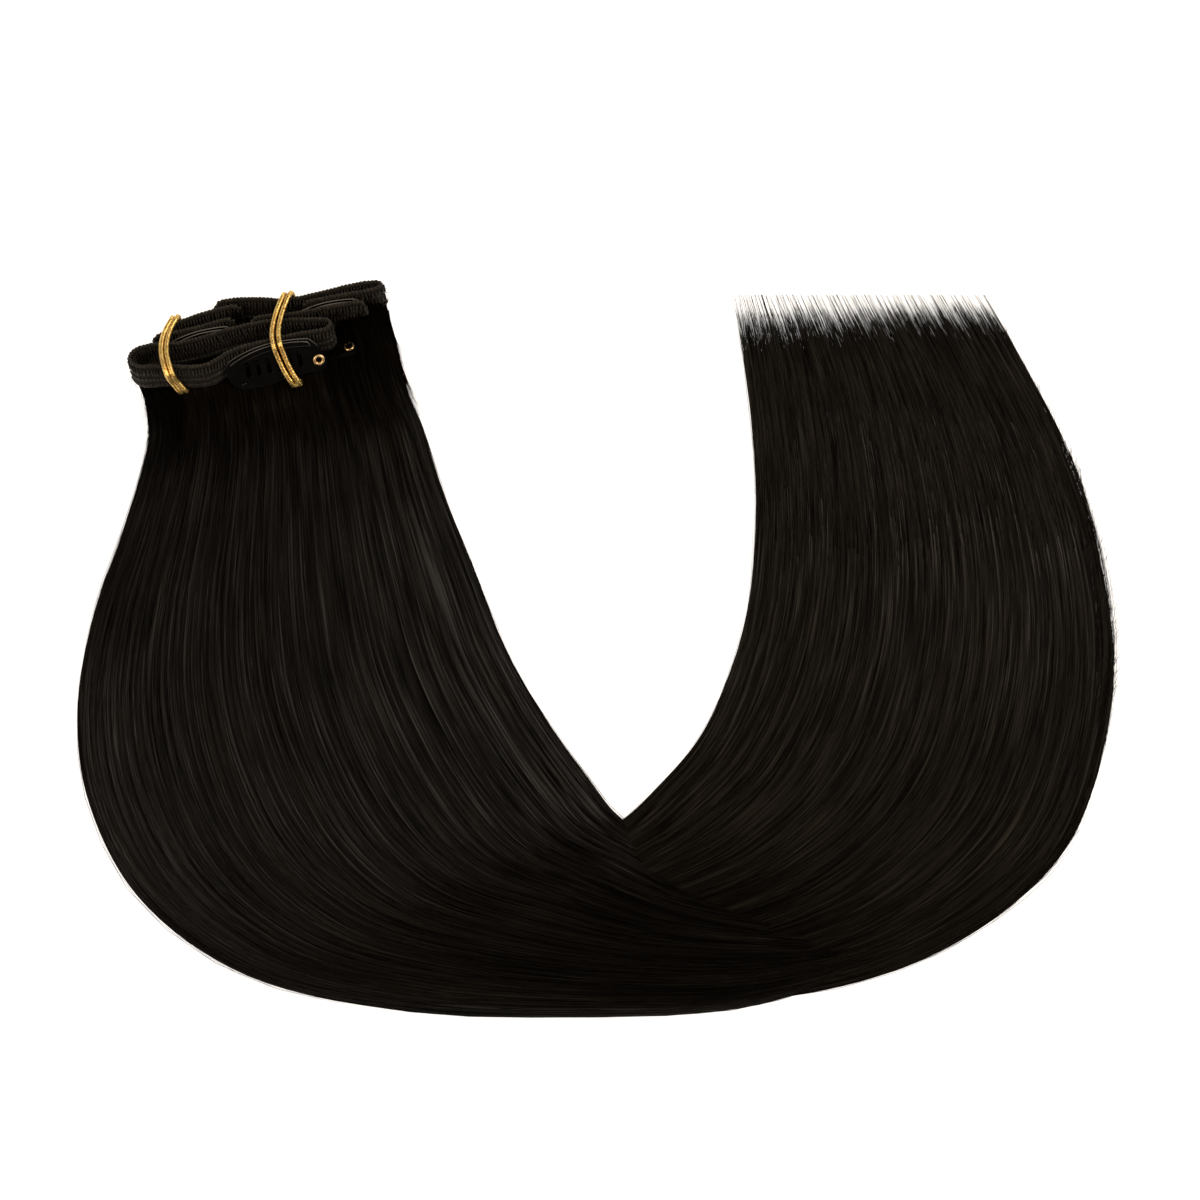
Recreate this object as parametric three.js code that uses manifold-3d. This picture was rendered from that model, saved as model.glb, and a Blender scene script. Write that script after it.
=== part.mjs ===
// A clip-in hair extension, lying flat: stitched wefts folded into a stack and tied with two gold
// elastics, four snap clips sewn among them, and one long fall of hair that bends round in a U.
// Millimetres, +Z up. The hair rests on z = 0 and the wefts lean back over its upper left end.
import * as THREE from "three";
import { mergeVertices } from "three/addons/utils/BufferGeometryUtils.js";
import Module from "manifold-3d";

const wasm = await Module();
wasm.setup();

// Driving dimensions: the fall of hair.
const fallWidth = 332; // left side of the bend to its right side
const fallDepth = 231; // bottom of the bend to the cut tips
const fallThickness = 9; // half way down the first run
const sideThickness = 1.4; // where the hair thins out along its two sides
const upperLocks = 11;
const lowerLocks = 10;
const tipStagger = 9; // how much the cut tips differ in length

// Driving dimensions: the wefts.
const stackLength = 84; // the folded stack, end to end
const weftHeight = 10; // top edge to where the hair leaves the stitching
const weftWall = 1.8; // over the stitching
const stitchRise = 0.3; // how far the rows of stitches stand out of the cloth
const fit = 0.3; // between pieces that touch
const stackTurn = THREE.MathUtils.degToRad(12);
const stackLean = THREE.MathUtils.degToRad(40); // back from upright
const rearLift = 1.8; // hair under the rearmost weft

// Driving dimensions: the clips and the ties.
const longClipLength = 32.5;
const longClipHeight = 14.5;
const shortClipLength = 23.5;
const shortClipHeight = 11;
const clipLeaf = 0.55;
const eyeletRadius = 1.9;
const eyeletBore = 0.9;
const rivetRadius = 1;
const combSlot = 1.3;
const edgeBreak = 0.12; // on the eyelets' flanges and the rivets' heads
const frontClipRise = 0.5; // over the wefts' top edges
const innerClipDrop = 0.2; // under them
const tieRadius = 0.85;
const frontClipLean = THREE.MathUtils.degToRad(25); // forward from the wefts

// Sizes that follow from them.
const longClip = { length: longClipLength, height: longClipHeight };
const shortClip = { length: shortClipLength, height: shortClipHeight };
const layer = weftWall + fit;
const clipWall = 2 * clipLeaf + fit;
const clipLayer = clipWall + fit;
const tieOut = fit + tieRadius; // a strand's middle off the face that it crosses
const tieUnder = fit + clipWall + tieOut; // and below the wefts, where a clip lies between

// Distances back through the stack count the weft walls and the clips that are passed.
const backBy = (layers, clips = 0) => layers * layer + clips * clipLayer;

const material = (color, roughness, metalness = 0) =>
  new THREE.MeshStandardMaterial({ color, roughness, metalness });
const hairMaterial = material(0x16120f, 0.45);
const weftMaterial = material(0x1b1815, 0.85);
const lacquer = material(0x0b0b0c, 0.2, 0.4);
const brass = material(0xc9a053, 0.3, 1);
const gold = material(0xe6b446, 0.32, 1);

function named(name, geometry, look) {
  const mesh = new THREE.Mesh(geometry, look.clone());
  mesh.name = name;
  return mesh;
}

// A closed geometry as a solid for joins and cuts, in the frame that the matrix gives.
function solidOf(geometry, matrix = new THREE.Matrix4()) {
  const bare = geometry.clone().applyMatrix4(matrix);
  bare.deleteAttribute("normal");
  bare.deleteAttribute("uv");
  const merged = mergeVertices(bare, 1e-4);
  const vertProperties = merged.attributes.position.array;
  const triVerts = new Uint32Array(merged.index.array);
  return new wasm.Manifold(new wasm.Mesh({ numProp: 3, vertProperties, triVerts }));
}

function geometryOf(solid) {
  const { numProp, vertProperties, triVerts } = solid.getMesh();
  const places = new Float32Array((vertProperties.length / numProp) * 3);
  for (let i = 0; i * 3 < places.length; i++) {
    places.set(vertProperties.subarray(i * numProp, i * numProp + 3), i * 3);
  }
  const geometry = new THREE.BufferGeometry();
  geometry.setAttribute("position", new THREE.BufferAttribute(places, 3));
  geometry.setIndex(new THREE.BufferAttribute(triVerts, 1));
  const flat = geometry.toNonIndexed();
  flat.computeVertexNormals();
  return flat;
}

const joined = (solids) => solids.reduce((all, one) => all.add(one));

// Cuts that run close to each other leave crumbs, so only the main body is kept.
const mainBody = (solid) =>
  solid.decompose().reduce((most, one) => (one.volume() > most.volume() ? one : most));

// A skin through rings of equal count. An open run is capped at both ends.
function loft(rings, closed = false) {
  const count = rings[0].length;
  const places = rings.flat();
  const faces = [];
  const spans = closed ? rings.length : rings.length - 1;
  for (let i = 0; i < spans; i++) {
    const here = i * count;
    const next = ((i + 1) % rings.length) * count;
    for (let j = 0; j < count; j++) {
      const k = (j + 1) % count;
      faces.push(here + j, here + k, next + k, here + j, next + k, next + j);
    }
  }
  if (!closed) {
    for (const end of [0, rings.length - 1]) {
      const middle = new THREE.Vector3();
      rings[end].forEach((p) => middle.addScaledVector(p, 1 / count));
      places.push(middle);
      for (let j = 0; j < count; j++) {
        const pair = [end * count + j, end * count + ((j + 1) % count)];
        if (end === 0) pair.reverse();
        faces.push(...pair, places.length - 1);
      }
    }
  }
  const geometry = new THREE.BufferGeometry().setFromPoints(places);
  geometry.setIndex(enclosed(places, faces) < 0 ? faces.reverse() : faces);
  geometry.computeVertexNormals();
  return geometry;
}

function enclosed(places, faces) {
  let volume = 0;
  for (let i = 0; i < faces.length; i += 3) {
    const [a, b, c] = [places[faces[i]], places[faces[i + 1]], places[faces[i + 2]]];
    volume += a.dot(b.clone().cross(c)) / 6;
  }
  return volume;
}

// The stack of wefts has a frame of its own: x along it, y back through it, z up a weft.
const rearmost = backBy(8.1, 1) + weftWall / 2;
const stack = new THREE.Group();
stack.rotation.set(-stackLean, 0, stackTurn, "ZYX");
stack.position.set(
  0.0587 * fallWidth,
  0.873 * fallDepth,
  rearLift + rearmost * Math.sin(stackLean),
);
stack.updateMatrixWorld(true);

// Where the middle of each weft's top edge runs: a share of the stack's length, then how many
// walls and clips it lies behind.
const weftRuns = {
  front_weft: {
    closed: true,
    run: [
      { along: 0.007, layers: 1.43 },
      { along: 0.013, layers: 0.38 },
      { along: 0.038, layers: -0.57 },
      { along: 0.089, layers: -1.14 },
      { along: 0.158, layers: -1.9 },
      { along: 0.238, layers: -2.86 },
      { along: 0.292, layers: -3.0 },
      { along: 0.333, layers: -2.4 },
      { along: 0.369, layers: -1.65 },
      { along: 0.417, layers: -1.15 },
      { along: 0.476, layers: -0.95 },
      { along: 0.56, layers: -0.86 },
      { along: 0.649, layers: -0.8 },
      { along: 0.72, layers: -0.98 },
      { along: 0.76, layers: -0.84 },
      { along: 0.776, layers: 0 },
      { along: 0.764, layers: 0.86 },
      { along: 0.726, layers: 1.38 },
      { along: 0.626, layers: 2.38 },
      { along: 0.548, layers: 3.0 },
      { along: 0.461, layers: 3.14 },
      { along: 0.369, layers: 2.95 },
      { along: 0.275, layers: 2.48 },
      { along: 0.181, layers: 2.48 },
      { along: 0.104, layers: 3.19 },
      { along: 0.045, layers: 3.14 },
      { along: 0.017, layers: 2.48 },
    ],
  },
  middle_weft: {
    run: [
      { along: 0.1, layers: 3.9, clips: 1 },
      { along: 0.143, layers: 4.1, clips: 1 },
      { along: 0.19, layers: 3.86, clips: 1 },
      { along: 0.286, layers: 3.95, clips: 1 },
      { along: 0.405, layers: 4.38, clips: 1 },
      { along: 0.424, layers: 4.43, clips: 1 },
    ],
  },
  rear_weft: {
    run: [
      { along: 0.179, layers: 5.38, clips: 1 },
      { along: 0.22, layers: 5.81, clips: 1 },
      { along: 0.274, layers: 6.24, clips: 1 },
      { along: 0.333, layers: 6.52, clips: 1 },
      { along: 0.393, layers: 6.67, clips: 1 },
      { along: 0.458, layers: 6.72, clips: 1 },
    ],
  },
  right_weft: {
    run: [
      { along: 0.476, layers: 4.24 },
      { along: 0.56, layers: 4.02 },
      { along: 0.631, layers: 3.5 },
      { along: 0.714, layers: 3.32 },
      { along: 0.786, layers: 3.24 },
      { along: 0.857, layers: 3.14 },
      { along: 0.925, layers: 3.1 },
    ],
  },
  looped_weft: {
    run: [
      { along: 0.352, layers: 7.71, clips: 1 },
      { along: 0.387, layers: 8.1, clips: 1 },
      { along: 0.44, layers: 7.95, clips: 1 },
      { along: 0.5, layers: 7.38, clips: 1 },
      { along: 0.56, layers: 6.62, clips: 1 },
      { along: 0.607, layers: 5.86, clips: 1 },
      { along: 0.667, layers: 5.57, clips: 1 },
      { along: 0.762, layers: 5.62, clips: 1 },
      { along: 0.857, layers: 5.81, clips: 1 },
      { along: 0.94, layers: 5.76, clips: 1 },
      { along: 0.981, layers: 5.38, clips: 1 },
      { along: 0.995, layers: 4.86, clips: 1 },
      { along: 0.983, layers: 4.3, clips: 1 },
      { along: 0.945, layers: 4.08, clips: 1 },
      { along: 0.881, layers: 4.18, clips: 1 },
      { along: 0.786, layers: 4.3, clips: 1 },
      { along: 0.679, layers: 4.41, clips: 1 },
    ],
  },
};

// Half a weft's section, from its lower edge to its top edge: two rows of stitches stand out.
const weftFace = [
  { up: 0, row: 0 },
  { up: 0.24, row: 1 },
  { up: 0.5, row: 0 },
  { up: 0.76, row: 1 },
  { up: 1, row: 0 },
];

function weft({ run, closed = false }) {
  const places = run.map(
    ({ along, layers, clips }) =>
      new THREE.Vector3(along * stackLength, backBy(layers, clips), 0),
  );
  const path = new THREE.CatmullRomCurve3(places, closed, "centripetal");
  const steps = 2 * (closed ? places.length : places.length - 1);
  const rings = [];
  for (let i = 0; i < steps + (closed ? 0 : 1); i++) {
    const middle = path.getPoint(i / steps);
    const along = path.getTangent(i / steps);
    const aside = new THREE.Vector3(-along.y, along.x, 0).normalize();
    const edge = (side) =>
      weftFace.map(({ up, row }) => {
        const out = weftWall / 2 - stitchRise * (1 - row);
        return middle
          .clone()
          .addScaledVector(aside, side * out)
          .setZ(up * weftHeight);
      });
    rings.push([...edge(-1), ...edge(1).reverse()]);
  }
  return loft(rings, closed);
}

// A snap clip, flat in its own xy plane with its top edge at y = 0: a lower leaf with comb slots,
// an upper spring leaf along its top edge, a hollow eyelet at one end and a rivet at the other.
function clipOutline({ length, height }) {
  const at = (x, y) => [(x - 0.5) * length, y * height];
  const shape = new THREE.Shape();
  shape.moveTo(...at(0, -0.42));
  shape.quadraticCurveTo(...at(0.02, -0.26), ...at(0.09, -0.2));
  shape.quadraticCurveTo(...at(0.28, -0.02), ...at(0.5, 0));
  shape.quadraticCurveTo(...at(0.7, 0), ...at(0.86, -0.08));
  shape.quadraticCurveTo(...at(0.93, -0.2), ...at(1, -0.6));
  shape.quadraticCurveTo(...at(1, -0.88), ...at(0.92, -0.88));
  shape.lineTo(...at(0.6, -0.9));
  shape.quadraticCurveTo(...at(0.36, -1.02), ...at(0.18, -0.97));
  shape.quadraticCurveTo(...at(0.02, -0.9), ...at(0, -0.42));
  return shape;
}

const eyeletAt = ({ length, height }) => new THREE.Vector2(0.42 * length, -0.62 * height);
const rivetAt = ({ length, height }) => new THREE.Vector2(-0.34 * length, -0.84 * height);

function roundHole(centre, radius, sides = 12) {
  const rim = Array.from({ length: sides }, (_, i) =>
    new THREE.Vector2(centre.x + radius, centre.y).rotateAround(centre, (2 * Math.PI * i) / sides),
  );
  return new THREE.Path(rim);
}

function lowerLeaf(size) {
  const shape = clipOutline(size);
  shape.holes.push(roundHole(eyeletAt(size), eyeletBore + 2 * fit));
  shape.holes.push(roundHole(rivetAt(size), rivetRadius / 2 + fit));
  const slots = Math.round(size.length / (4 * combSlot));
  for (let i = 0; i < slots; i++) {
    const x = ((i + 0.5) / slots - 0.53) * 0.62 * size.length;
    const high = -0.36 * size.height;
    const low = -0.66 * size.height;
    const slot = new THREE.Path();
    slot.absarc(x, high, combSlot / 2, 0, Math.PI, false);
    slot.absarc(x, low, combSlot / 2, Math.PI, 2 * Math.PI, false);
    shape.holes.push(slot);
  }
  return new THREE.ExtrudeGeometry(shape, {
    depth: clipLeaf,
    bevelEnabled: false,
    curveSegments: 3,
  });
}

function springLeaf({ length, height }) {
  const at = (x, y) => [(x - 0.5) * length, y * height];
  const shape = new THREE.Shape();
  shape.moveTo(...at(0.06, -0.3));
  shape.quadraticCurveTo(...at(0.28, -0.06), ...at(0.5, -0.035));
  shape.quadraticCurveTo(...at(0.7, -0.035), ...at(0.85, -0.12));
  shape.lineTo(...at(0.87, -0.24));
  shape.quadraticCurveTo(...at(0.7, -0.16), ...at(0.5, -0.155));
  shape.quadraticCurveTo(...at(0.3, -0.17), ...at(0.08, -0.42));
  return new THREE.ExtrudeGeometry(shape, {
    depth: clipLeaf,
    bevelEnabled: false,
    curveSegments: 4,
  });
}

// Turned pieces run from the lower leaf's back to its front, where the flange or head stands.
function eyelet() {
  const barrel = eyeletBore + fit;
  const seat = clipLeaf + fit / 2;
  const profile = [
    [eyeletBore, 0],
    [barrel, 0],
    [barrel, seat],
    [eyeletRadius, seat],
    [eyeletRadius - edgeBreak, clipWall],
    [eyeletBore, clipWall],
    [eyeletBore, 0],
  ].map(([r, z]) => new THREE.Vector2(r, z));
  return new THREE.LatheGeometry(profile, 12).rotateX(Math.PI / 2);
}

function rivet() {
  const seat = clipLeaf + fit / 2;
  const profile = [
    [0, 0],
    [rivetRadius / 2, 0],
    [rivetRadius / 2, seat],
    [rivetRadius, seat],
    [0.8 * rivetRadius, clipWall - edgeBreak],
    [0, clipWall],
  ].map(([r, z]) => new THREE.Vector2(r, z));
  return new THREE.LatheGeometry(profile, 12).rotateX(Math.PI / 2);
}

function snapClip(name, size) {
  const clip = new THREE.Group();
  const leaf = named(name + "_comb", lowerLeaf(size), lacquer);
  const spring = named(name + "_spring", springLeaf(size), lacquer);
  spring.position.z = clipLeaf + fit;
  const ring = named(name + "_eyelet", eyelet(), brass);
  ring.position.set(eyeletAt(size).x, eyeletAt(size).y, 0);
  const pin = named(name + "_rivet", rivet(), lacquer);
  pin.position.set(rivetAt(size).x, rivetAt(size).y, 0);
  const leaves = new THREE.Group();
  leaves.add(leaf, spring, ring, pin);
  leaves.position.z = -clipWall / 2;
  clip.add(leaves);
  clip.userData.size = size;
  return clip;
}

// Each clip's top edge: along and back through the stack, then up a weft. Tilt 90 is parallel
// to the wefts, and tilt 0 lies across their lower edges.
const clipPlaces = [
  {
    name: "front_clip",
    size: longClip,
    along: 0.543,
    layers: -1.4,
    clips: -0.5,
    up: weftHeight + frontClipRise,
    tilt: Math.PI / 2 - frontClipLean,
    turn: 0,
  },
  {
    name: "under_clip",
    size: longClip,
    along: 0.664,
    layers: 3.45,
    clips: 0,
    up: -fit - clipWall / 2,
    tilt: 0,
    turn: 0,
  },
  {
    name: "right_clip",
    size: shortClip,
    along: 0.78,
    layers: 3.77,
    clips: 0.5,
    up: weftHeight - innerClipDrop,
    tilt: Math.PI / 2,
    turn: -0.026,
  },
  {
    name: "middle_clip",
    size: shortClip,
    along: 0.286,
    layers: 3.44,
    clips: 0.5,
    up: weftHeight - innerClipDrop,
    tilt: Math.PI / 2,
    turn: 0.028,
  },
];

for (const { name, size, along, layers, clips, up, tilt, turn } of clipPlaces) {
  const clip = snapClip(name, size);
  clip.position.set(along * stackLength, backBy(layers, clips), up);
  clip.rotation.set(tilt, 0, turn, "ZYX");
  stack.add(clip);
}

for (const [name, run] of Object.entries(weftRuns)) {
  stack.add(named(name, weft(run), weftMaterial));
}

// Points of a tie, in the stack's frame: over the top edges, down the front, under and behind.
const over = (along, layers, clips = 0) =>
  new THREE.Vector3(along * stackLength, backBy(layers, clips), weftHeight + tieOut);
const under = (along, layers, clips, deeper = 0) =>
  new THREE.Vector3(along * stackLength, backBy(layers, clips), -tieUnder - deeper);
const behind = (along, layers, clips, up) =>
  new THREE.Vector3(
    along * stackLength,
    backBy(layers, clips) + weftWall / 2 + tieOut,
    up * weftHeight,
  );
const before = (along, layers, up) =>
  new THREE.Vector3(along * stackLength, backBy(layers) - weftWall / 2 - tieOut, up * weftHeight);

// A point on the front clip, down from its top edge by a share of its height, off its face.
function onFrontClip(along, down, off) {
  const { layers, clips, up, size } = clipPlaces[0];
  const [sine, cosine] = [Math.sin(frontClipLean), Math.cos(frontClipLean)];
  const fall = down * size.height;
  return new THREE.Vector3(
    along * stackLength,
    backBy(layers, clips) - fall * sine - off * cosine,
    up - fall * cosine + off * sine,
  );
}

const offClip = clipWall / 2 + tieOut;
const ties = {
  left_tie: {
    spacing: 2.02 * tieRadius,
    path: [
      over(0.199, 6.0, 1),
      over(0.169, 4.1, 1),
      over(0.146, 2.4),
      over(0.138, 0),
      over(0.14, -1.8),
      before(0.145, -2.3, 0.92),
      before(0.157, -2.02, 0.45),
      before(0.176, -2.2, 0.05),
      under(0.187, -2.1, 0),
      under(0.192, 0.5, 0),
      under(0.195, 3.2, 0),
      under(0.2, 5.3, 1, -0.9),
      behind(0.205, 6.05, 1, 0.12),
      behind(0.206, 6.15, 1, 0.5),
      behind(0.205, 6.2, 1, 0.9),
    ],
  },
  right_tie: {
    spacing: 2.5 * tieRadius,
    path: [
      over(0.635, 6.05, 1),
      over(0.602, 4.3),
      over(0.58, 2),
      over(0.566, -0.2),
      onFrontClip(0.563, 0, offClip),
      onFrontClip(0.568, 0.26, offClip),
      onFrontClip(0.58, 0.62, offClip),
      onFrontClip(0.597, 0.93, offClip),
      onFrontClip(0.604, 1.07, 0.3),
      onFrontClip(0.604, 1, -offClip - 0.5),
      under(0.605, -1, 0, 0.3),
      under(0.608, 3.2, 0),
      under(0.624, 5.5, 0.6, -0.6),
      behind(0.64, 6.08, 1, 0.12),
      behind(0.645, 6.3, 1, 0.5),
      behind(0.642, 6.1, 1, 0.88),
    ],
  },
};

const tieSteps = 32;
const tieCurve = (path, aside) =>
  new THREE.CatmullRomCurve3(
    path.map((p) => p.clone().setX(p.x + aside)),
    true,
    "centripetal",
  );

// Two strands side by side and the crimp under the wefts that joins them.
function tie({ path, spacing }) {
  const strands = [-spacing / 2, spacing / 2].map((aside) =>
    solidOf(new THREE.TubeGeometry(tieCurve(path, aside), tieSteps, tieRadius, 6, true)),
  );
  const seat = path.find((p) => p.z < -tieUnder + 0.01);
  const crimp = new THREE.CylinderGeometry(0.9 * tieRadius, 0.9 * tieRadius, spacing, 8);
  crimp.rotateZ(Math.PI / 2).translate(seat.x, seat.y, seat.z);
  return geometryOf(joined([...strands, solidOf(crimp)]));
}

for (const [name, shape] of Object.entries(ties)) {
  stack.add(named(name, tie(shape), gold));
}

// The hair. A fall is a sheet of locks between an inner and an outer side. Its root rows are
// placed from the stack, as shares of its length and of a weft's height in front of its lower
// edge, and its other rows as shares of the fall's width and depth from its lower left corner.
// Thick is a share of the root's or the fall's thickness, square is how full the section is at
// its sides, and bow moves the middle of the row towards the root, in weft heights.
const rootThickness = stack.position.z + backBy(3.2) * Math.sin(stackLean);

function rootRow({ inner, outer, thick, square, bow }) {
  const place = ([along, ahead]) => {
    const x = along * stackLength;
    const y = -ahead * weftHeight;
    return new THREE.Vector3(x, y, 0)
      .applyAxisAngle(new THREE.Vector3(0, 0, 1), stackTurn)
      .add(stack.position)
      .setZ(0);
  };
  return { inner: place(inner), outer: place(outer), thick: thick * rootThickness, square, bow };
}

function fallRow({ inner, outer, thick, square, bow = 0 }) {
  const place = ([across, up]) => new THREE.Vector3(across * fallWidth, up * fallDepth, 0);
  return { inner: place(inner), outer: place(outer), thick: thick * fallThickness, square, bow };
}

const upperRows = [
  ...[
    { inner: [1.0, -0.71], outer: [0.02, -0.45], thick: 0.07, square: 14, bow: 0.8 },
    { inner: [0.995, 0.45], outer: [0.02, 0.3], thick: 1, square: 14, bow: 0 },
    { inner: [1.0, 1.75], outer: [0.012, 1.45], thick: 0.9, square: 8, bow: 0 },
  ].map(rootRow),
  ...[
    { inner: [0.332, 0.825], outer: [0.066, 0.768], thick: 1.5, square: 5 },
    { inner: [0.354, 0.728], outer: [0.045, 0.67], thick: 1.22, square: 4 },
    { inner: [0.383, 0.623], outer: [0.017, 0.555], thick: 1.06, square: 3.5 },
    { inner: [0.417, 0.502], outer: [0.002, 0.426], thick: 1, square: 3.5 },
    { inner: [0.461, 0.396], outer: [0.012, 0.302], thick: 1.02, square: 3.5 },
    { inner: [0.496, 0.327], outer: [0.06, 0.168], thick: 1.1, square: 3.5 },
    { inner: [0.52, 0.283], outer: [0.158, 0.063], thick: 1.26, square: 4 },
    { inner: [0.55, 0.252], outer: [0.302, 0.012], thick: 1.36, square: 4 },
    { inner: [0.6, 0.198], outer: [0.466, 0.001], thick: 1.36, square: 4 },
    { inner: [0.666, 0.163], outer: [0.643, 0.014], thick: 1.06, square: 3.5 },
    { inner: [0.744, 0.13], outer: [0.754, 0.065], thick: 0.66, square: 3 },
    { inner: [0.81, 0.147], outer: [0.845, 0.132], thick: 0.3, square: 3 },
  ].map(fallRow),
];

const lowerRows = [
  { inner: [0.408, 0.19], outer: [0.466, 0.051], thick: 0.5, square: 3 },
  { inner: [0.465, 0.215], outer: [0.562, 0.03], thick: 0.82, square: 3 },
  { inner: [0.525, 0.272], outer: [0.686, 0.03], thick: 0.94, square: 3.5 },
  { inner: [0.557, 0.315], outer: [0.808, 0.076], thick: 0.98, square: 3.5 },
  { inner: [0.6, 0.387], outer: [0.898, 0.152], thick: 0.96, square: 3.5 },
  { inner: [0.629, 0.475], outer: [0.957, 0.243], thick: 0.9, square: 3.5 },
  { inner: [0.647, 0.569], outer: [0.99, 0.375], thick: 0.82, square: 3.5 },
  { inner: [0.655, 0.681], outer: [1, 0.506], thick: 0.76, square: 3.5 },
  { inner: [0.653, 0.792], outer: [0.988, 0.64], thick: 0.7, square: 3.5 },
  { inner: [0.645, 0.896], outer: [0.961, 0.767], thick: 0.6, square: 4 },
  { inner: [0.637, 0.97], outer: [0.922, 0.879], thick: 0.46, square: 5 },
  { inner: [0.633, 1], outer: [0.874, 1], thick: 0.3, square: 6 },
].map(fallRow);

class Fall {
  constructor(rows) {
    const through = (places) => new THREE.CatmullRomCurve3(places, false, "centripetal");
    this.inner = through(rows.map((row) => row.inner));
    this.outer = through(rows.map((row) => row.outer));
    this.rows = rows;
  }

  // A named column of the table, between its rows.
  column(name, run) {
    const last = this.rows.length - 1;
    const whole = Math.min(Math.floor(run * last), last - 1);
    const [here, next] = [this.rows[whole][name], this.rows[whole + 1][name]];
    return THREE.MathUtils.lerp(here, next, run * last - whole);
  }

  // The place at a share of the run from the root and a share of the width from the inner side.
  place(run, across) {
    const inner = this.inner.getPoint(run);
    const outer = this.outer.getPoint(run);
    const back = new THREE.Vector3().subVectors(inner, outer).normalize();
    back.set(-back.y, back.x, 0);
    const bow = this.column("bow", run) * weftHeight * 4 * across * (1 - across);
    return inner.lerp(outer, across).addScaledVector(back, bow);
  }

  height(run, across) {
    const fullness = 1 - Math.abs(2 * across - 1) ** this.column("square", run);
    const thick = this.column("thick", run);
    const side = Math.min(sideThickness, thick);
    return side + (thick - side) * fullness;
  }
}

const upperFall = new Fall(upperRows);
const lowerFall = new Fall(lowerRows);

// Across one lock: a groove at its side and a broad back.
const lockProfile = [
  { aside: 0, rise: 0.88 },
  { aside: 0.28, rise: 1 },
  { aside: 0.72, rise: 1 },
];
const lockHeight = (i) => 1 + 0.05 * Math.sin(2.4 * i + 0.7);
const underColumns = 4;

// Locks lying side by side as one sheet with a flat underside.
function sheet(fall, count, steps, end) {
  const columns = Array.from({ length: count }, (_, i) =>
    lockProfile.map(({ aside, rise }) => ({ across: (i + aside) / count, rise, lock: i })),
  ).flat();
  columns.push({ across: 1, rise: lockProfile[0].rise, lock: count });
  const rings = [];
  for (let step = 0; step <= steps; step++) {
    const run = (step / steps) * end;
    const top = columns.map(({ across, rise, lock }) =>
      fall.place(run, across).setZ(rise * lockHeight(rise < 1 ? 0 : lock) * fall.height(run, across)),
    );
    const foot = Array.from({ length: underColumns + 1 }, (_, i) =>
      fall.place(run, 1 - i / underColumns),
    );
    rings.push([...top, ...foot]);
  }
  return loft(rings);
}

// The free end of one lock: it starts inside the sheet and narrows to its cut tip.
const tipSection = [
  { aside: -0.98, rise: 0 },
  { aside: -0.7, rise: 0.72 },
  { aside: 0.7, rise: 0.72 },
  { aside: 0.98, rise: 0 },
];
const tipSteps = 4;
const tipFoot = 0.5; // inside the sheet
const tipThickness = 0.9;

function lockTip(fall, count, i, start) {
  const cut = (tipStagger * (0.5 + 0.5 * Math.sin(3.7 * i))) / fall.inner.getLength();
  const rings = [];
  for (let step = 0; step <= tipSteps; step++) {
    const run = THREE.MathUtils.lerp(start, 1 - cut, step / tipSteps);
    const narrow = 1 - 0.5 * (step / tipSteps) ** 2;
    rings.push(
      tipSection.map(({ aside, rise }) => {
        const across = (i + 0.5 + 0.5 * aside * narrow) / count;
        const height = Math.max(rise * narrow * fall.height(run, across), tipFoot + tipThickness);
        return fall.place(run, across).setZ(rise ? height : tipFoot);
      }),
    );
  }
  return loft(rings);
}

const upperSteps = 20;
const lowerSteps = 17;
const sheetEnd = 0.95;
const tipStart = 0.9;
const tips = Array.from({ length: lowerLocks }, (_, i) =>
  lockTip(lowerFall, lowerLocks, i, tipStart),
);
let hair = joined(
  [
    sheet(upperFall, upperLocks, upperSteps, 1),
    sheet(lowerFall, lowerLocks, lowerSteps, sheetEnd),
    ...tips,
  ].map((geometry) => solidOf(geometry)),
);

// Room for the wefts, each clip and each tie, cut out of the hair.
const above = 3 * weftHeight;
const aroundStack = 1.2 * weftHeight;
const wefts = new THREE.BoxGeometry(
  stackLength + 2 * aroundStack,
  rearmost + 2 * aroundStack,
  above,
);
wefts.translate(stackLength / 2, rearmost / 2, above / 2 - fit);
hair = hair.subtract(solidOf(wefts, stack.matrixWorld));

stack.updateMatrixWorld(true);
for (const clip of stack.children.filter((child) => child.userData.size)) {
  const { length, height } = clip.userData.size;
  const room = new THREE.BoxGeometry(
    length + 2 * fit,
    1.04 * height + 2 * fit,
    clipWall + 2 * fit,
  );
  room.translate(0, -height / 2, 0);
  hair = hair.subtract(solidOf(room, clip.matrixWorld));
}
for (const { path, spacing } of Object.values(ties)) {
  const room = spacing / 2 + tieRadius + 2 * fit;
  const groove = new THREE.TubeGeometry(tieCurve(path, 0), tieSteps, room, 8, true);
  hair = hair.subtract(solidOf(groove, stack.matrixWorld));
}

const extension = new THREE.Group();
extension.add(named("hair_fall", geometryOf(mainBody(hair)), hairMaterial), stack);

// The origin is the middle of the whole part, on the surface that it lies on.
const box = new THREE.Box3().setFromObject(extension, true);
const middle = box.getCenter(new THREE.Vector3());
extension.position.set(-middle.x, -middle.y, -box.min.z);

export default extension;
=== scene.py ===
# %% [markdown]
# # A clip-in hair extension, folded and tied
# The real thing is a set of stitched wefts, which are narrow strips that long hair is sewn
# into, with snap clips among them. Here the wefts are folded into a stack, held by two gold
# elastics, and the long dark hair lies in a U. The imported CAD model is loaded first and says
# where everything goes. The finer pieces are then made around it and take its place.

# %% Load the frame
import math

import bpy
import numpy as np
from mathutils import Matrix, Vector

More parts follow.
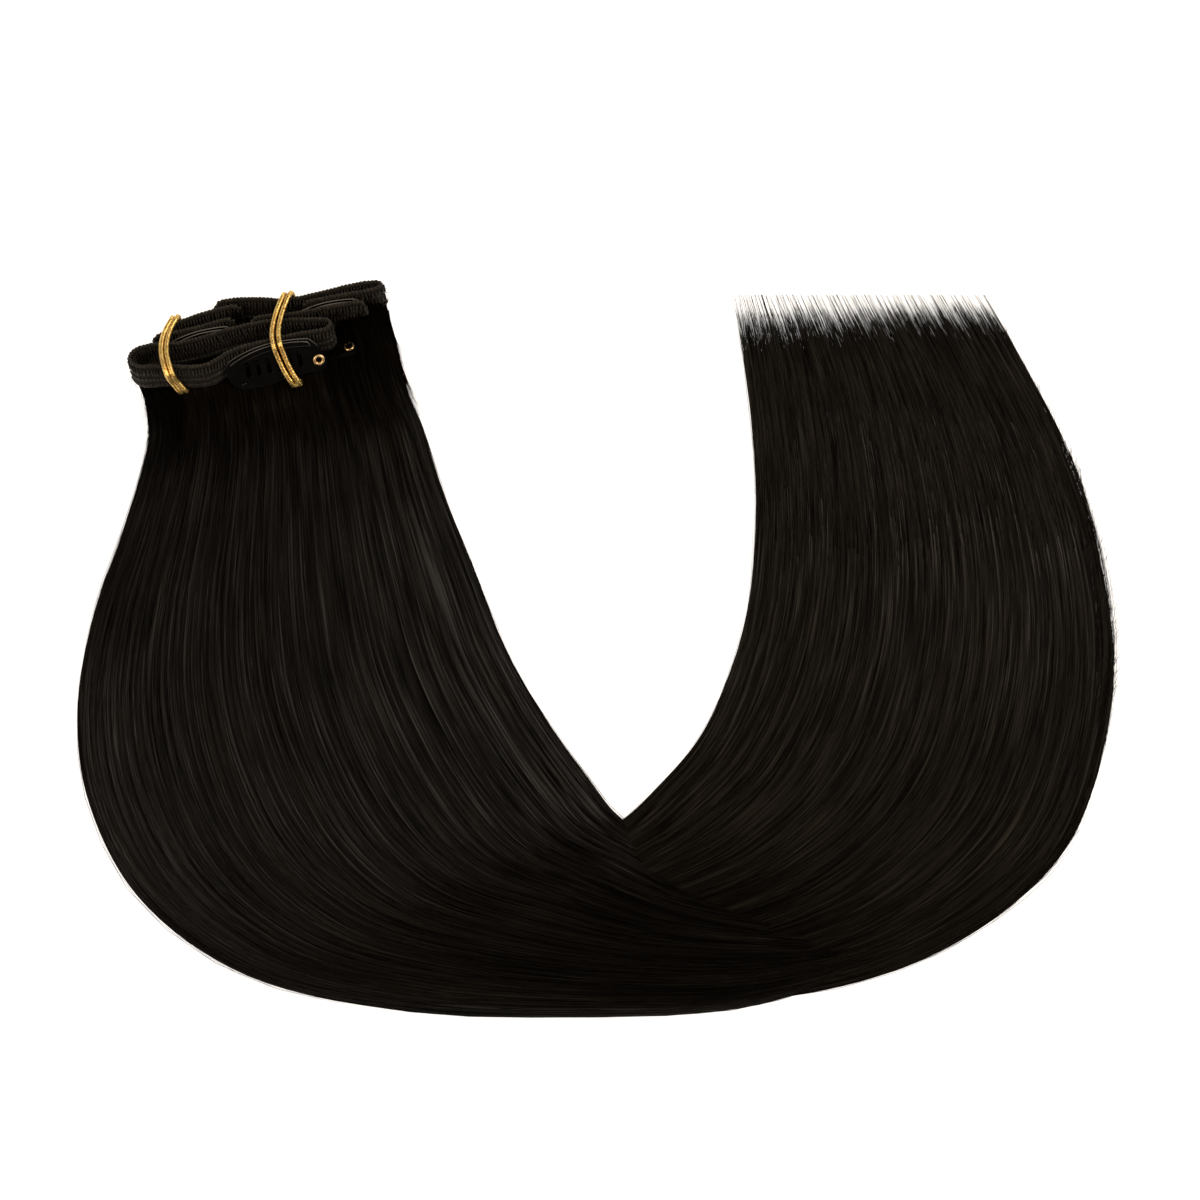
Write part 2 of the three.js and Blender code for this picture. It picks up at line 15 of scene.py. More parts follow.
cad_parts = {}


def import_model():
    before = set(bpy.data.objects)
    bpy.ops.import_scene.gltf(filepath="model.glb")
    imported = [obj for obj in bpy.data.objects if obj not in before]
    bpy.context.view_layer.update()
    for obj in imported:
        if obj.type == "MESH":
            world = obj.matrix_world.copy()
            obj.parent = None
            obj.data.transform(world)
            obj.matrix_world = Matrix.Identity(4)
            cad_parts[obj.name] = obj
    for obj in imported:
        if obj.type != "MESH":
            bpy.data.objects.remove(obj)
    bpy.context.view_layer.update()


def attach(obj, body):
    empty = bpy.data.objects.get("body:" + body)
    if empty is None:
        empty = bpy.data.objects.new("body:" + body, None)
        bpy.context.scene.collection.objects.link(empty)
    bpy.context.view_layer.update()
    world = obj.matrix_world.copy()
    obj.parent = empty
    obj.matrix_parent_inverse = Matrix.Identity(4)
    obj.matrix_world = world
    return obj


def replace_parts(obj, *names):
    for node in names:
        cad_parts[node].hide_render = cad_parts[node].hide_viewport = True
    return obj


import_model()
MM = 0.001  # the tables below are in millimetres, and Blender works in metres

# %% [markdown]
# ## Camera
# The photograph looks straight down. A long lens from far away keeps the top of the stack of
# wefts over its foot, where a near camera would lean it outwards.

# %% Camera
picture_width = 0.3834
lens, sensor = 300.0, 36.0
camera_height = picture_width * lens / sensor
bpy.ops.object.camera_add(location=(0.0013, 0.0157, camera_height), rotation=(0, 0, 0))
camera = bpy.context.object
camera.data.lens, camera.data.sensor_width = lens, sensor
camera.data.clip_end = 2 * camera_height
bpy.context.scene.camera = camera
print("camera", round(camera_height, 3), "m above the floor")

# %% [markdown]
# ## Floor and light
# A plain pale floor under two big soft lamps. Dark hair shows only what it reflects, so the
# lamps stand to the left and right. Strands that run up the picture pass their light on to
# the camera, and strands that run across it stay dark. The light from all round is weak, or
# the black would turn grey.

# %% Floor, lamps and surroundings
def deselect():
    for chosen in list(bpy.context.selected_objects):
        chosen.select_set(False)


deselect()
bpy.ops.mesh.primitive_plane_add(size=8, location=(0, 0, 0))
floor = bpy.context.object
floor.name = "floor"


def lamp(name, place, size, power):
    """A square soft lamp that faces the middle of the hair."""
    bpy.ops.object.light_add(type="AREA", location=place)
    light = bpy.context.object
    light.name = name
    light.data.size, light.data.energy = size, power
    light.data.color = (1.0, 0.88, 0.76)
    light.rotation_mode = "QUATERNION"
    light.rotation_quaternion = (-Vector(place)).to_track_quat("-Z", "Y")
    return light


lamp("left_lamp", (-1.3, -0.4, 1.5), 1.4, 21)
lamp("right_lamp", (1.25, 0.7, 1.5), 1.4, 34)
world = bpy.data.worlds.new("studio")
world.use_nodes = True
world.node_tree.nodes["Background"].inputs["Color"].default_value = (1.0, 0.91, 0.83, 1)
world.node_tree.nodes["Background"].inputs["Strength"].default_value = 0.27
bpy.context.scene.world = world
bpy.context.scene.view_settings.view_transform = "Standard"

# %% [markdown]
# ## Materials
# Each finish is a Principled BSDF whose colour, roughness and bump come from nodes. The hair
# follows its own UV map, in which U runs across the locks and V from the root to the tips, so
# the streaks lie along the strands wherever they bend. The streaks are a node group with named
# sockets. A few helpers add a node and fill its inputs, so each finish is only a few lines.

# %% Node helpers
class Nodes:
    """Adds nodes to a tree. An input is given a value, or another node's socket."""

    def __init__(self, tree):
        self.tree = tree

    def give(self, node, inputs):
        for socket, given in inputs.items():
            if isinstance(given, bpy.types.NodeSocket):
                self.tree.links.new(given, node.inputs[socket])
            else:
                node.inputs[socket].default_value = given
        return node

    def add(self, kind, inputs=None, **settings):
        node = self.tree.nodes.new(kind)
        for setting, value in settings.items():
            setattr(node, setting, value)
        return self.give(node, inputs or {})

    def maths(self, operation, *given):
        return self.add("ShaderNodeMath", dict(enumerate(given)), operation=operation).outputs[0]

    def noise(self, scale, detail):
        """Noise in a piece's own space."""
        place = self.add("ShaderNodeTexCoord").outputs["Object"]
        return self.add("ShaderNodeTexNoise", {
            "Scale": scale, "Detail": detail, "Vector": place}).outputs["Fac"]

    def mark(self, name):
        """A value that a piece carries at each of its points."""
        return self.add("ShaderNodeAttribute", attribute_name=name).outputs["Fac"]

    def ramp(self, fac, *stops):
        """Colours at places from 0 to 1."""
        node = self.add("ShaderNodeValToRGB", {"Fac": fac})
        while len(node.color_ramp.elements) < len(stops):
            node.color_ramp.elements.new(0.5)
        for element, (where, colour) in zip(node.color_ramp.elements, stops):
            element.position, element.color = where, (*colour, 1)
        return node.outputs["Color"]

    def spread(self, fac, low, high, from_low=0.3, from_high=0.7):
        """A value drawn out between low and high."""
        return self.add("ShaderNodeMapRange", {
            "Value": fac, "From Min": from_low, "From Max": from_high,
            "To Min": low, "To Max": high}).outputs["Result"]


# %% A finish
class Finish(Nodes):
    """A new material, its shader, and what goes into the shader's sockets."""

    def __init__(self, name, **sockets):
        self.material = bpy.data.materials.new(name)
        self.material.use_nodes = True
        super().__init__(self.material.node_tree)
        self.shader = self.tree.nodes["Principled BSDF"]
        self.shade(**sockets)

    def shade(self, **sockets):
        self.give(self.shader, {name.replace("_", " "): given for name, given in sockets.items()})

    def bump(self, height, strength, distance):
        raised = self.add("ShaderNodeBump", {
            "Height": height, "Strength": strength, "Distance": distance})
        self.shade(Normal=raised.outputs["Normal"])


# %% Streaks along the strands
def streak_group():
    """Noise drawn out along the strands: a mask for colour and a height for bump."""
    group = bpy.data.node_groups.new("strand_streaks", "ShaderNodeTree")
    for name, side, value in (("Across", "INPUT", 300.0), ("Along", "INPUT", 8.0),
                              ("Mask", "OUTPUT", 0.0), ("Height", "OUTPUT", 0.0)):
        group.interface.new_socket(
            name=name, in_out=side, socket_type="NodeSocketFloat").default_value = value
    nodes = Nodes(group)
    given, out = nodes.add("NodeGroupInput"), nodes.add("NodeGroupOutput")
    apart = nodes.add("ShaderNodeSeparateXYZ", {0: nodes.add("ShaderNodeTexCoord").outputs["UV"]})
    across = nodes.maths("MULTIPLY", apart.outputs["X"], given.outputs["Across"])
    along = nodes.maths("MULTIPLY", apart.outputs["Y"], given.outputs["Along"])
    noises = []
    for share in (1.0, 0.36):
        spot = nodes.add("ShaderNodeCombineXYZ", {
            "X": nodes.maths("MULTIPLY", across, share), "Y": along})
        noises.append(nodes.add("ShaderNodeTexNoise", {
            "Scale": 1.0, "Detail": 1.0, "Vector": spot.outputs[0]}).outputs["Fac"])
    fine, broad = noises
    mask = nodes.maths("MULTIPLY_ADD", fine, 0.55, nodes.maths("MULTIPLY", broad, 0.45))
    nodes.give(out, {"Mask": mask, "Height": fine})
    return group


# %% Hair finish
def hair_finish():
    """Near-black brown. Each piece says how light its strands are, and where their shine is painted
    out as painted shade.
    """
    look = Finish("hair", Specular_IOR_Level=0.0, Coat_IOR=1.24, Coat_Roughness=0.36)
    streak = look.add("ShaderNodeGroup", node_tree=streak_group())
    look.give(streak, {"Across": 270.0, "Along": 10.0})
    mask = streak.outputs["Mask"]
    lightness = look.maths(
        "MULTIPLY_ADD", look.spread(mask, 0.0, 1.0, 0.38, 0.62), 0.5, look.mark("shade"))
    # painted shade: the coat's shine is taken out wherever a piece marks it
    glossy = look.spread(look.mark("shine_painted_out"), 1.0, 0.0, 0.0, 1.0)
    look.shade(
        Base_Color=look.ramp(lightness, (0.05, (0.0011, 0.0008, 0.0005)),
                             (0.5, (0.0040, 0.0030, 0.0020)), (1.0, (0.022, 0.0175, 0.012))),
        Coat_Weight=look.maths("MULTIPLY", look.spread(mask, 0.15, 0.95, 0.36, 0.64), glossy),
        Roughness=look.spread(mask, 0.7, 0.5))
    look.bump(streak.outputs["Height"], 0.5, 0.0003)
    return look.material


# %% Thread, lacquer, brass, gold and floor finishes
def thread_finish(name, lightness):
    """Matt sewing thread, paler where it is rubbed."""
    look = Finish(name, Specular_IOR_Level=0.18, Specular_Tint=(1.0, 0.88, 0.74, 1),
                  Sheen_Weight=0.04)
    noise = look.noise(900.0, 3.0)
    colours = lightness * np.array([
        (0.0055, 0.0043, 0.0029), (0.016, 0.0132, 0.0092), (0.037, 0.0315, 0.0225)])
    look.shade(Base_Color=look.ramp(noise, *zip((0.3, 0.55, 0.8), colours)),
               Roughness=look.spread(noise, 0.55, 0.75))
    look.bump(noise, 0.5, 0.0002)
    return look.material


def lacquer_finish():
    """Glossy black lacquer with the faint ripple of a dipped coat, and a painted highlight in pale
    grey along its upper rim.
    """
    look = Finish("black_lacquer", Specular_IOR_Level=0.09, Coat_Weight=0.03, Coat_Roughness=0.08)
    noise = look.noise(260.0, 2.0)
    black = look.ramp(noise, (0.35, (0.0006, 0.0005, 0.0004)), (0.75, (0.0018, 0.0014, 0.0010)))
    colour_a, colour_b = 6, 7  # the Mix node has an A and a B for each kind of value
    # painted highlight: the marked rim is mixed towards pale grey
    mixed = look.add("ShaderNodeMix", {
        "Factor": look.mark("rim_highlight_paint"), colour_a: black, colour_b: (0.13, 0.12, 0.105, 1)},
        data_type="RGBA")
    look.shade(Base_Color=mixed.outputs[2], Roughness=look.spread(noise, 0.16, 0.3))
    look.bump(noise, 0.12, 0.0003)
    return look.material


def metal_finish(name, low, high, dark, light, grain, depth):
    """Worn metal: tarnish between two colours, and a fine grain."""
    look = Finish(name, Metallic=1.0)
    noise = look.noise(grain, 3.0)
    look.shade(Base_Color=look.ramp(noise, (0.3, dark), (0.65, light)),
               Roughness=look.spread(noise, low, high))
    look.bump(noise, 0.3, depth)
    return look.material


def floor_finish():
    """White and lit from within, as a light table is, so that no shadow shows."""
    look = Finish("pale_floor", Roughness=0.9, Specular_IOR_Level=0.1,
                  Emission_Color=(1, 1, 1, 1), Emission_Strength=0.6)
    look.shade(Base_Color=look.ramp(
        look.noise(40.0, 2.0), (0.3, (0.93,) * 3), (0.7, (0.945,) * 3)))
    return look.material


hair = hair_finish()
thread = thread_finish("sewing_thread", 1.0)
ground = thread_finish("weft_ground", 0.22)  # the strip under the sewing lies in its shade
lacquer = lacquer_finish()
brass = metal_finish("brass", 0.22, 0.4, (0.45, 0.27, 0.10), (0.83, 0.60, 0.30), 500.0, 0.0001)
gold = metal_finish("gold_elastic", 0.26, 0.4, (0.5, 0.2, 0.03), (1.0, 0.79, 0.28), 1500.0, 0.0005)
finishes = [hair, thread, ground, lacquer, brass, gold, floor_finish()]
floor.data.materials.append(finishes[-1])
print("finishes:", [finish.name for finish in finishes])

# %% [markdown]
# ## The stack's own frame
# The wefts were folded side by side and the whole stack leans back on its hair. Everything on
# it is easiest to say in the stack's frame: X along it, Y back through it and Z up a weft. One
# matrix carries that frame to where the CAD model has it. Distances back through the stack
# count the weft walls and the clips that are passed.

# %% Stack frame
fall_width, fall_depth, fall_thickness, side_thickness = 332.0, 231.0, 9.0, 1.4
part_corner = np.array([-166.296, -117.803])  # the fall's lower left corner in the frame
stack_length, weft_height, weft_wall, fit = 84.0, 10.0, 1.8, 0.3
stack_turn, stack_lean, rear_lift = math.radians(12), math.radians(40), 1.8
clip_leaf = 0.55
layer, clip_wall = weft_wall + fit, 2 * clip_leaf + fit
clip_layer = clip_wall + fit


def back_by(layers, clips=0):
    return layers * layer + clips * clip_layer


rearmost = back_by(8.1, 1) + weft_wall / 2
stack_place = Vector((
    0.0587 * fall_width + part_corner[0],
    0.873 * fall_depth + part_corner[1],
    rear_lift + rearmost * math.sin(stack_lean),
))
stack = (Matrix.Translation(stack_place) @ Matrix.Rotation(stack_turn, 4, "Z")
         @ Matrix.Rotation(-stack_lean, 4, "X"))


def through(matrix, points):
    """Points of a frame, in the frame that the matrix leads to."""
    matrix = np.array(matrix)
    return points @ matrix[:3, :3].T + matrix[:3, 3]


def centripetal(points, where, closed=False):
    """A smooth curve through the points, at shares of its run from 0 to 1."""
    points = np.asarray(points, float)
    count = len(points)
    spans = count if closed else count - 1
    whole = np.clip(np.floor(np.asarray(where) * spans).astype(int), 0, spans - 1)
    part = (np.asarray(where) * spans - whole)[:, None]
    if closed:
        around = np.concatenate([points[-1:], points, points[:2]])
    else:
        around = np.concatenate(
            [[2 * points[0] - points[1]], points, [2 * points[-1] - points[-2]]])
    a, b, c, d = (around[whole + i] for i in range(4))
    before, here, after = (
        np.maximum(np.linalg.norm(q - p, axis=1), 1e-6)[:, None] ** 0.5
        for p, q in ((a, b), (b, c), (c, d))
    )
    leave = ((b - a) / before - (c - a) / (before + here) + (c - b) / here) * here
    arrive = ((c - b) / here - (d - b) / (here + after) + (d - c) / after) * here
    return (b + leave * part + (-3 * b + 3 * c - 2 * leave - arrive) * part**2
            + (2 * b - 2 * c + leave + arrive) * part**3)


print("stack stands at", [round(v, 2) for v in stack_place], "mm")

# %% [markdown]
# ## The two runs of hair
# The hair leaves the wefts, swings down and round, and comes back up to its cut tips. Where
# the first run crosses the second it lies on top. Each run is a table of rows from an inner to
# an outer side. The first three rows hang from the stack, and the others are shares of the
# fall's width and depth. From a table any place on the run can be worked out, by a share of
# the way to the tips and a share of the way across.

# %% Rows of the runs
# inner place, outer place, thickness, fullness at the sides, bow of the middle
ROOT_ROWS = [
    ((1.0, -0.71), (0.02, -0.45), 0.07, 14, 0.8),
    ((0.995, 0.45), (0.02, 0.3), 1.0, 14, 0),
    ((1.0, 1.75), (0.012, 1.45), 0.9, 8, 0),
]
FIRST_ROWS = [
    ((0.332, 0.825), (0.066, 0.768), 1.5, 5),
    ((0.354, 0.728), (0.045, 0.67), 1.22, 4),
    ((0.383, 0.623), (0.017, 0.555), 1.06, 3.5),
    ((0.417, 0.502), (0.002, 0.426), 1, 3.5),
    ((0.461, 0.396), (0.012, 0.302), 1.02, 3.5),
    ((0.496, 0.327), (0.06, 0.168), 1.1, 3.5),
    ((0.52, 0.283), (0.158, 0.063), 1.26, 4),
    ((0.55, 0.252), (0.302, 0.012), 1.36, 4),
    ((0.6, 0.198), (0.466, 0.001), 1.36, 4),
    ((0.666, 0.163), (0.643, 0.014), 1.06, 3.5),
    ((0.744, 0.13), (0.754, 0.065), 0.66, 3),
    ((0.81, 0.147), (0.845, 0.132), 0.3, 3),
]
SECOND_ROWS = [
    ((0.408, 0.19), (0.466, 0.051), 0.5, 3),
    ((0.465, 0.215), (0.562, 0.03), 0.82, 3),
    ((0.525, 0.272), (0.686, 0.03), 0.94, 3.5),
    ((0.557, 0.315), (0.808, 0.076), 0.98, 3.5),
    ((0.6, 0.387), (0.898, 0.152), 0.96, 3.5),
    ((0.629, 0.475), (0.957, 0.243), 0.9, 3.5),
    ((0.647, 0.569), (0.99, 0.375), 0.82, 3.5),
    ((0.655, 0.681), (1, 0.506), 0.76, 3.5),
    ((0.653, 0.792), (0.988, 0.64), 0.7, 3.5),
    ((0.645, 0.896), (0.961, 0.767), 0.6, 4),
    ((0.637, 0.97), (0.922, 0.879), 0.46, 5),
    ((0.633, 1), (0.874, 1), 0.3, 6),
]
root_thickness = stack_place.z + back_by(3.2) * math.sin(stack_lean)


def root_row(inner, outer, thick, square, bow):
    turn = np.array([[math.cos(stack_turn), math.sin(stack_turn)],
                     [-math.sin(stack_turn), math.cos(stack_turn)]])
    ends = [np.array([along * stack_length, -ahead * weft_height]) @ turn + stack_place[:2]
            for along, ahead in (inner, outer)]
    return (*ends, thick * root_thickness, square, bow * weft_height)


def fall_row(inner, outer, thick, square):
    size = np.array([fall_width, fall_depth])
    return (inner * size + part_corner, outer * size + part_corner,
            thick * fall_thickness, square, 0)


# depth in millimetres, how many along the run, how many across it
RIDGES = (0.27, 4, 17), (0.07, 5, 60), (0.13, 7, 210), (0.12, 10, 430)


class Run:
    """One run of the hair, and a fixed pattern of fine ridges on it."""

    def __init__(self, rows, seed):
        self.inner, self.outer, self.thick, self.square, self.bow = (
            np.array(column, float) for column in zip(*rows))
        draw = np.random.default_rng(seed)
        self.layers = [(depth, draw.normal(size=size)) for depth, *size in RIDGES]

    def column(self, values, run):
        return np.interp(run * (len(values) - 1), np.arange(len(values)), values)

    def place(self, run, across):
        inner, outer = centripetal(self.inner, run), centripetal(self.outer, run)
        back = inner - outer
        back = np.stack([-back[:, 1], back[:, 0]], 1) / np.linalg.norm(back, axis=1)[:, None]
        bow = self.column(self.bow, run) * 4 * across * (1 - across)
        return inner + (outer - inner) * across[:, None] + back * bow[:, None]

    def ridge(self, run, across):
        """Height of the ridges: broad locks first, then ever finer wisps."""
        total = np.zeros(len(run))
        for depth, knots in self.layers:
            y = np.clip(run, 0, 1) * (knots.shape[0] - 1.001)
            x = np.clip(across, 0, 1) * (knots.shape[1] - 1.001)
            i, j = y.astype(int), x.astype(int)
            fy, fx = (0.5 - 0.5 * np.cos(math.pi * f) for f in (y - i, x - j))
            total += depth * ((knots[i, j] * (1 - fx) + knots[i, j + 1] * fx) * (1 - fy)
                              + (knots[i + 1, j] * (1 - fx) + knots[i + 1, j + 1] * fx) * fy)
        return total

    def height(self, run, across):
        """The top of the hair over the floor, with its ridges."""
        edge = np.abs(2 * np.clip(across, 0, 1) - 1)
        thick = self.column(self.thick, run)
        side = np.minimum(side_thickness, thick)
        smooth = side + (thick - side) * (1 - edge ** self.column(self.square, run))
        soft = np.minimum(1, smooth / 6)
        return np.maximum(smooth - 0.25 + soft * self.ridge(run, across), 0.35)


first_run = Run([root_row(*row) for row in ROOT_ROWS] + [fall_row(*row) for row in FIRST_ROWS], 11)
second_run = Run([fall_row(*row) for row in SECOND_ROWS], 12)

# %% [markdown]
# The first run starts under the wefts, so nothing of it may rise past their lower edges, and
# one clip lies flat under them. Both are a limit on height over a place.

# %% Room under the wefts
stack_up = np.array(stack.to_3x3().col[2])
stack_along = np.array(stack.to_3x3().col[0])
stack_back = np.array(stack.to_3x3().col[1])
long_clip, short_clip = (32.5, 14.5), (23.5, 11.0)
under_clip_along, under_clip_back = 0.664, back_by(3.45)


def under_wefts(place, height):
    """The height, kept under the stack's foot and under the clip that lies there."""
    flat = place - np.array(stack_place[:2])
    foot = stack_place.z - (fit + stack_up[0] * flat[:, 0] + stack_up[1] * flat[:, 1]) / stack_up[2]
    over = np.column_stack([flat, foot - stack_place.z])
    along, back = over @ stack_along, over @ stack_back
    front = under_clip_back - long_clip[1]
    in_clip = ((np.abs(along - under_clip_along * stack_length) < long_clip[0] / 2 + fit)
               & (back > front - fit) & (back < under_clip_back + fit))
    return np.minimum(height, foot - np.where(in_clip, (fit + clip_wall) / stack_up[2], 0))


def on_first(run, across):
    place = first_run.place(run, across)
    height = under_wefts(place, first_run.height(run, across))
    return np.column_stack([place, np.maximum(height, 0.3)])


def on_second(run, across):
    return np.column_stack([second_run.place(run, across), second_run.height(run, across)])


# %% [markdown]
# ## The body of the hair
# Modelling every hair would take millions of faces. Each run gets one closed body instead,
# and its upper side carries the locks and wisps as real ridges. It starts as a grid, which
# brings its own UV map. The grid is rolled into a flat tube along the run, its seam is merged
# and its two ends are filled.

# %% Helpers for shaping a mesh
def named(name):
    """The object that was just added, under its name."""
    piece = bpy.context.object
    piece.name = piece.data.name = name
    return piece


def edit_all():
    bpy.ops.object.mode_set(mode="EDIT")
    bpy.ops.mesh.select_all(action="SELECT")


def turn_outward():
    """Turns all faces outward and ends the editing."""
    bpy.ops.mesh.select_all(action="SELECT")
    bpy.ops.mesh.normals_make_consistent(inside=False)
    bpy.ops.object.mode_set(mode="OBJECT")


def close_up(nearness=1e-6):
    """Merges the seam, fills the open ends and turns all faces outward."""
    bpy.ops.mesh.select_all(action="SELECT")
    bpy.ops.mesh.remove_doubles(threshold=nearness)
    bpy.ops.mesh.fill_holes(sides=0)
    turn_outward()


# %% A grid laid out by a rule
def laid_grid(name, across_cells, along_cells, rule, look):
    """A grid whose points a rule places by their shares across and along, in millimetres."""
    deselect()
    bpy.ops.mesh.primitive_grid_add(
        x_subdivisions=across_cells, y_subdivisions=along_cells, size=1, calc_uvs=True)
    piece = named(name)
    places = np.empty(len(piece.data.vertices) * 3)
    piece.data.vertices.foreach_get("co", places)
    shares = places.reshape(-1, 3)[:, :2] + 0.5
    piece.data.vertices.foreach_set("co", (rule(shares[:, 0], shares[:, 1]) * MM).ravel())
    edit_all()
    close_up()
    bpy.ops.object.shade_smooth()
    return settled(piece, look)


def piece_of(name, points, faces):
    """A smooth piece from points in millimetres and faces."""
    mesh = bpy.data.meshes.new(name)
    mesh.from_pydata((points * MM).tolist(), [], faces)
    mesh.polygons.foreach_set("use_smooth", [True] * len(mesh.polygons))
    piece = bpy.data.objects.new(name, mesh)
    bpy.context.scene.collection.objects.link(piece)
    return piece


def settled(piece, look):
    """A piece with its finish and its body, and a line about it."""
    piece.data.materials.clear()
    piece.data.materials.append(look)
    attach(piece, "root")
    piece.data.calc_loop_triangles()
    print(piece.name, len(piece.data.loop_triangles), "triangles")
    return piece


def marked(piece, name, values):
    """Writes a value for each point of a hair piece, for its finish to read."""
    mark = piece.data.attributes.new(name, "FLOAT", "POINT")
    mark.data.foreach_set("value", np.asarray(values, np.float32))
    return piece


# %% Two bodies of hair
TOP_CELLS, FOOT_CELLS = 430, 10


def flat_tube(surface, last):
    """A rule: the surface on top, the floor below it, and back to where it began."""
    def rule(u, v):
        column = np.rint(u * (TOP_CELLS + FOOT_CELLS))
        column[column == TOP_CELLS + FOOT_CELLS] = 0
        top = column <= TOP_CELLS
        foot = (column - TOP_CELLS - 1) / (FOOT_CELLS - 2)
        across = np.where(top, column / TOP_CELLS, 1 - foot)
        places = surface(v * last(across), across)
        places[:, 2] *= thin_end(v)
        places[~top, 2] = 0.05
        return places
    return rule


def thin_end(v):
    """How the body gets thinner towards its end, down to a few strands."""
    return 1 - 0.9 * np.clip((v - 0.9) / 0.1, 0, 1) ** 1.5


def run_before_tips(across, gap):
    """The share of the second run that ends a gap short of the line of the tips, in millimetres."""
    runs = np.linspace(0.4, 1.0, 60)
    wanted = fall_depth + part_corner[1] - gap
    ends = np.empty(len(across))
    for i, (share, line) in enumerate(zip(across, wanted)):
        ends[i] = np.interp(line, second_run.place(runs, np.full(60, share))[:, 1], runs)
    return ends


draw = np.random.default_rng(21)
clumps = np.interp(np.linspace(0, 70, TOP_CELLS + 1), np.arange(71), draw.uniform(-3.0, 3.0, 71))
ragged = np.linspace(0.2, 1, TOP_CELLS + 1) * clumps + draw.uniform(-1.5, 1.5, TOP_CELLS + 1)


def body_end(across):
    """The second body stops short of the tips, further at its inner side, with a ragged edge."""
    stops, back = np.unique(across, return_inverse=True)
    own = np.interp(stops, np.linspace(0, 1, TOP_CELLS + 1), ragged)
    return run_before_tips(stops, 18.5 - 2.5 * stops + 0.9 * own)[back]


def outer_side_thinned(run, across):
    """The second run, with its outer side drawn in where short ends make up the outline."""
    drawn_in = 0.021 * np.clip((run - 0.6) / 0.25, 0, 1)
    return on_second(run, across * (1 - drawn_in))


first_body = laid_grid("first_run_body", TOP_CELLS + FOOT_CELLS, 105,
                       flat_tube(on_first, lambda across: 1.0), hair)
second_body = laid_grid("second_run_body", TOP_CELLS + FOOT_CELLS, 100,
                        flat_tube(outer_side_thinned, body_end), hair)


# the middle and reach, in millimetres, of a painted dark patch where the two runs cross
crossing_middle, crossing_reach = np.array([28.0, -92.0]), np.array([100.0, 42.0])


def out_of_painted_shade(points):
    """0 in a painted shade under the wefts and in a painted dark patch where the runs cross, 1 in
    the open.
    """
    flat = points[:, :2] - np.array(stack_place[:2])
    along = flat[:, 0] * math.cos(stack_turn) + flat[:, 1] * math.sin(stack_turn)
    ahead = flat[:, 0] * math.sin(stack_turn) - flat[:, 1] * math.cos(stack_turn)
    below_wefts = np.clip((ahead - 11) / 30, 0, 1)
    below_wefts = np.where(along > 1.4 * stack_length, 1, below_wefts)
    from_crossing = np.linalg.norm((points[:, :2] - crossing_middle) / crossing_reach, axis=1)
    return below_wefts * (0.45 + 0.55 * np.clip(1.6 * (from_crossing - 0.3), 0, 1))


def marked_as_hair(piece, shades, shine_painted_out):
    """Writes how light the hair is and how much of its shine is taken out, with painted shade,
    darker and less shiny, under the wefts and where the runs cross.
    """
    spots = np.empty(len(piece.data.vertices) * 3)
    piece.data.vertices.foreach_get("co", spots)
    outside_painted_shade = out_of_painted_shade(spots.reshape(-1, 3) / MM)
    # painted shade: out of the open the hair's shade is pulled towards 0.1 and its shine is painted
    # out
    marked(piece, "shade", shades * outside_painted_shade + 0.1 * (1 - outside_painted_shade))
    marked(piece, "shine_painted_out", np.maximum(shine_painted_out, 1 - outside_painted_shade))


# painted light: the second body's shade is raised, for the stronger light of the right lamp on it
for body, shade in ((first_body, 0.12), (second_body, 0.36)):
    # painted shade: steep flanks lose their shine, so they stay dark instead of reflecting the
    # floor
    faces_up = np.array([v.normal.z for v in body.data.vertices])
    marked_as_hair(body, shade, np.clip((0.68 - faces_up) / 0.3, 0, 1))
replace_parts(first_body, "hair_fall")

# %% [markdown]
# ## Loose strands
# The bodies alone would look like moulded plastic. Thousands of fine strands lie on them and
# break up their outline. A strand is a three-sided rod that gets thinner towards its ends, and
# all the strands of one kind are one mesh. Each has a shade of its own.

# %% Strands as one mesh
def strands(name, paths, radii, shades, places, shine_painted_out=0.0):
    """Closed rods along the paths. Places are the UV of each ring, across and along."""
    count, rings = radii.shape
    ahead = np.gradient(paths, axis=1)
    ahead /= np.linalg.norm(ahead, axis=2, keepdims=True) + 1e-9
    aside = np.cross(ahead, (0, 0, 1.0))
    aside /= np.linalg.norm(aside, axis=2, keepdims=True) + 1e-9
    up = np.cross(aside, ahead)
    corners = np.stack([
        paths + radii[..., None] * (aside * math.cos(turn) + up * math.sin(turn))
        for turn in (math.pi / 2, math.pi * 7 / 6, math.pi * 11 / 6)], axis=2)
    ring = np.arange(rings - 1)[:, None] * 3 + np.arange(3)
    after = np.arange(rings - 1)[:, None] * 3 + np.roll(np.arange(3), -1)
    sides = np.stack([ring, ring + 3, after + 3, after], axis=-1).reshape(-1, 4)
    ends = np.array([[0, 1, 2], [rings * 3 - 1, rings * 3 - 2, rings * 3 - 3]])
    start = np.arange(count)[:, None, None] * rings * 3
    faces = (start + sides).reshape(-1, 4).tolist() + (start + ends).reshape(-1, 3).tolist()
    piece = piece_of(name, corners.reshape(-1, 3), faces)
    corner_of = np.empty(len(piece.data.loops), np.int32)
    piece.data.loops.foreach_get("vertex_index", corner_of)
    uv = np.repeat(places.reshape(-1, 2), 3, axis=0)[corner_of]
    piece.data.uv_layers.new(name="UVMap").data.foreach_set("uv", uv.ravel())
    marked_as_hair(piece, np.repeat(shades, rings * 3), shine_painted_out)
    return settled(piece, hair)


def laid(surface, run, lane):
    """Places on a run, for strands in rows and their rings in columns."""
    return surface(run.ravel(), lane.ravel()).reshape(*run.shape, 3)


def in_two_tones(draw, count, share, light, dark):
    """Shades, of which a share are light."""
    lighter = draw.uniform(size=count) < share
    return np.where(lighter, draw.uniform(*light, count), draw.uniform(*dark, count))


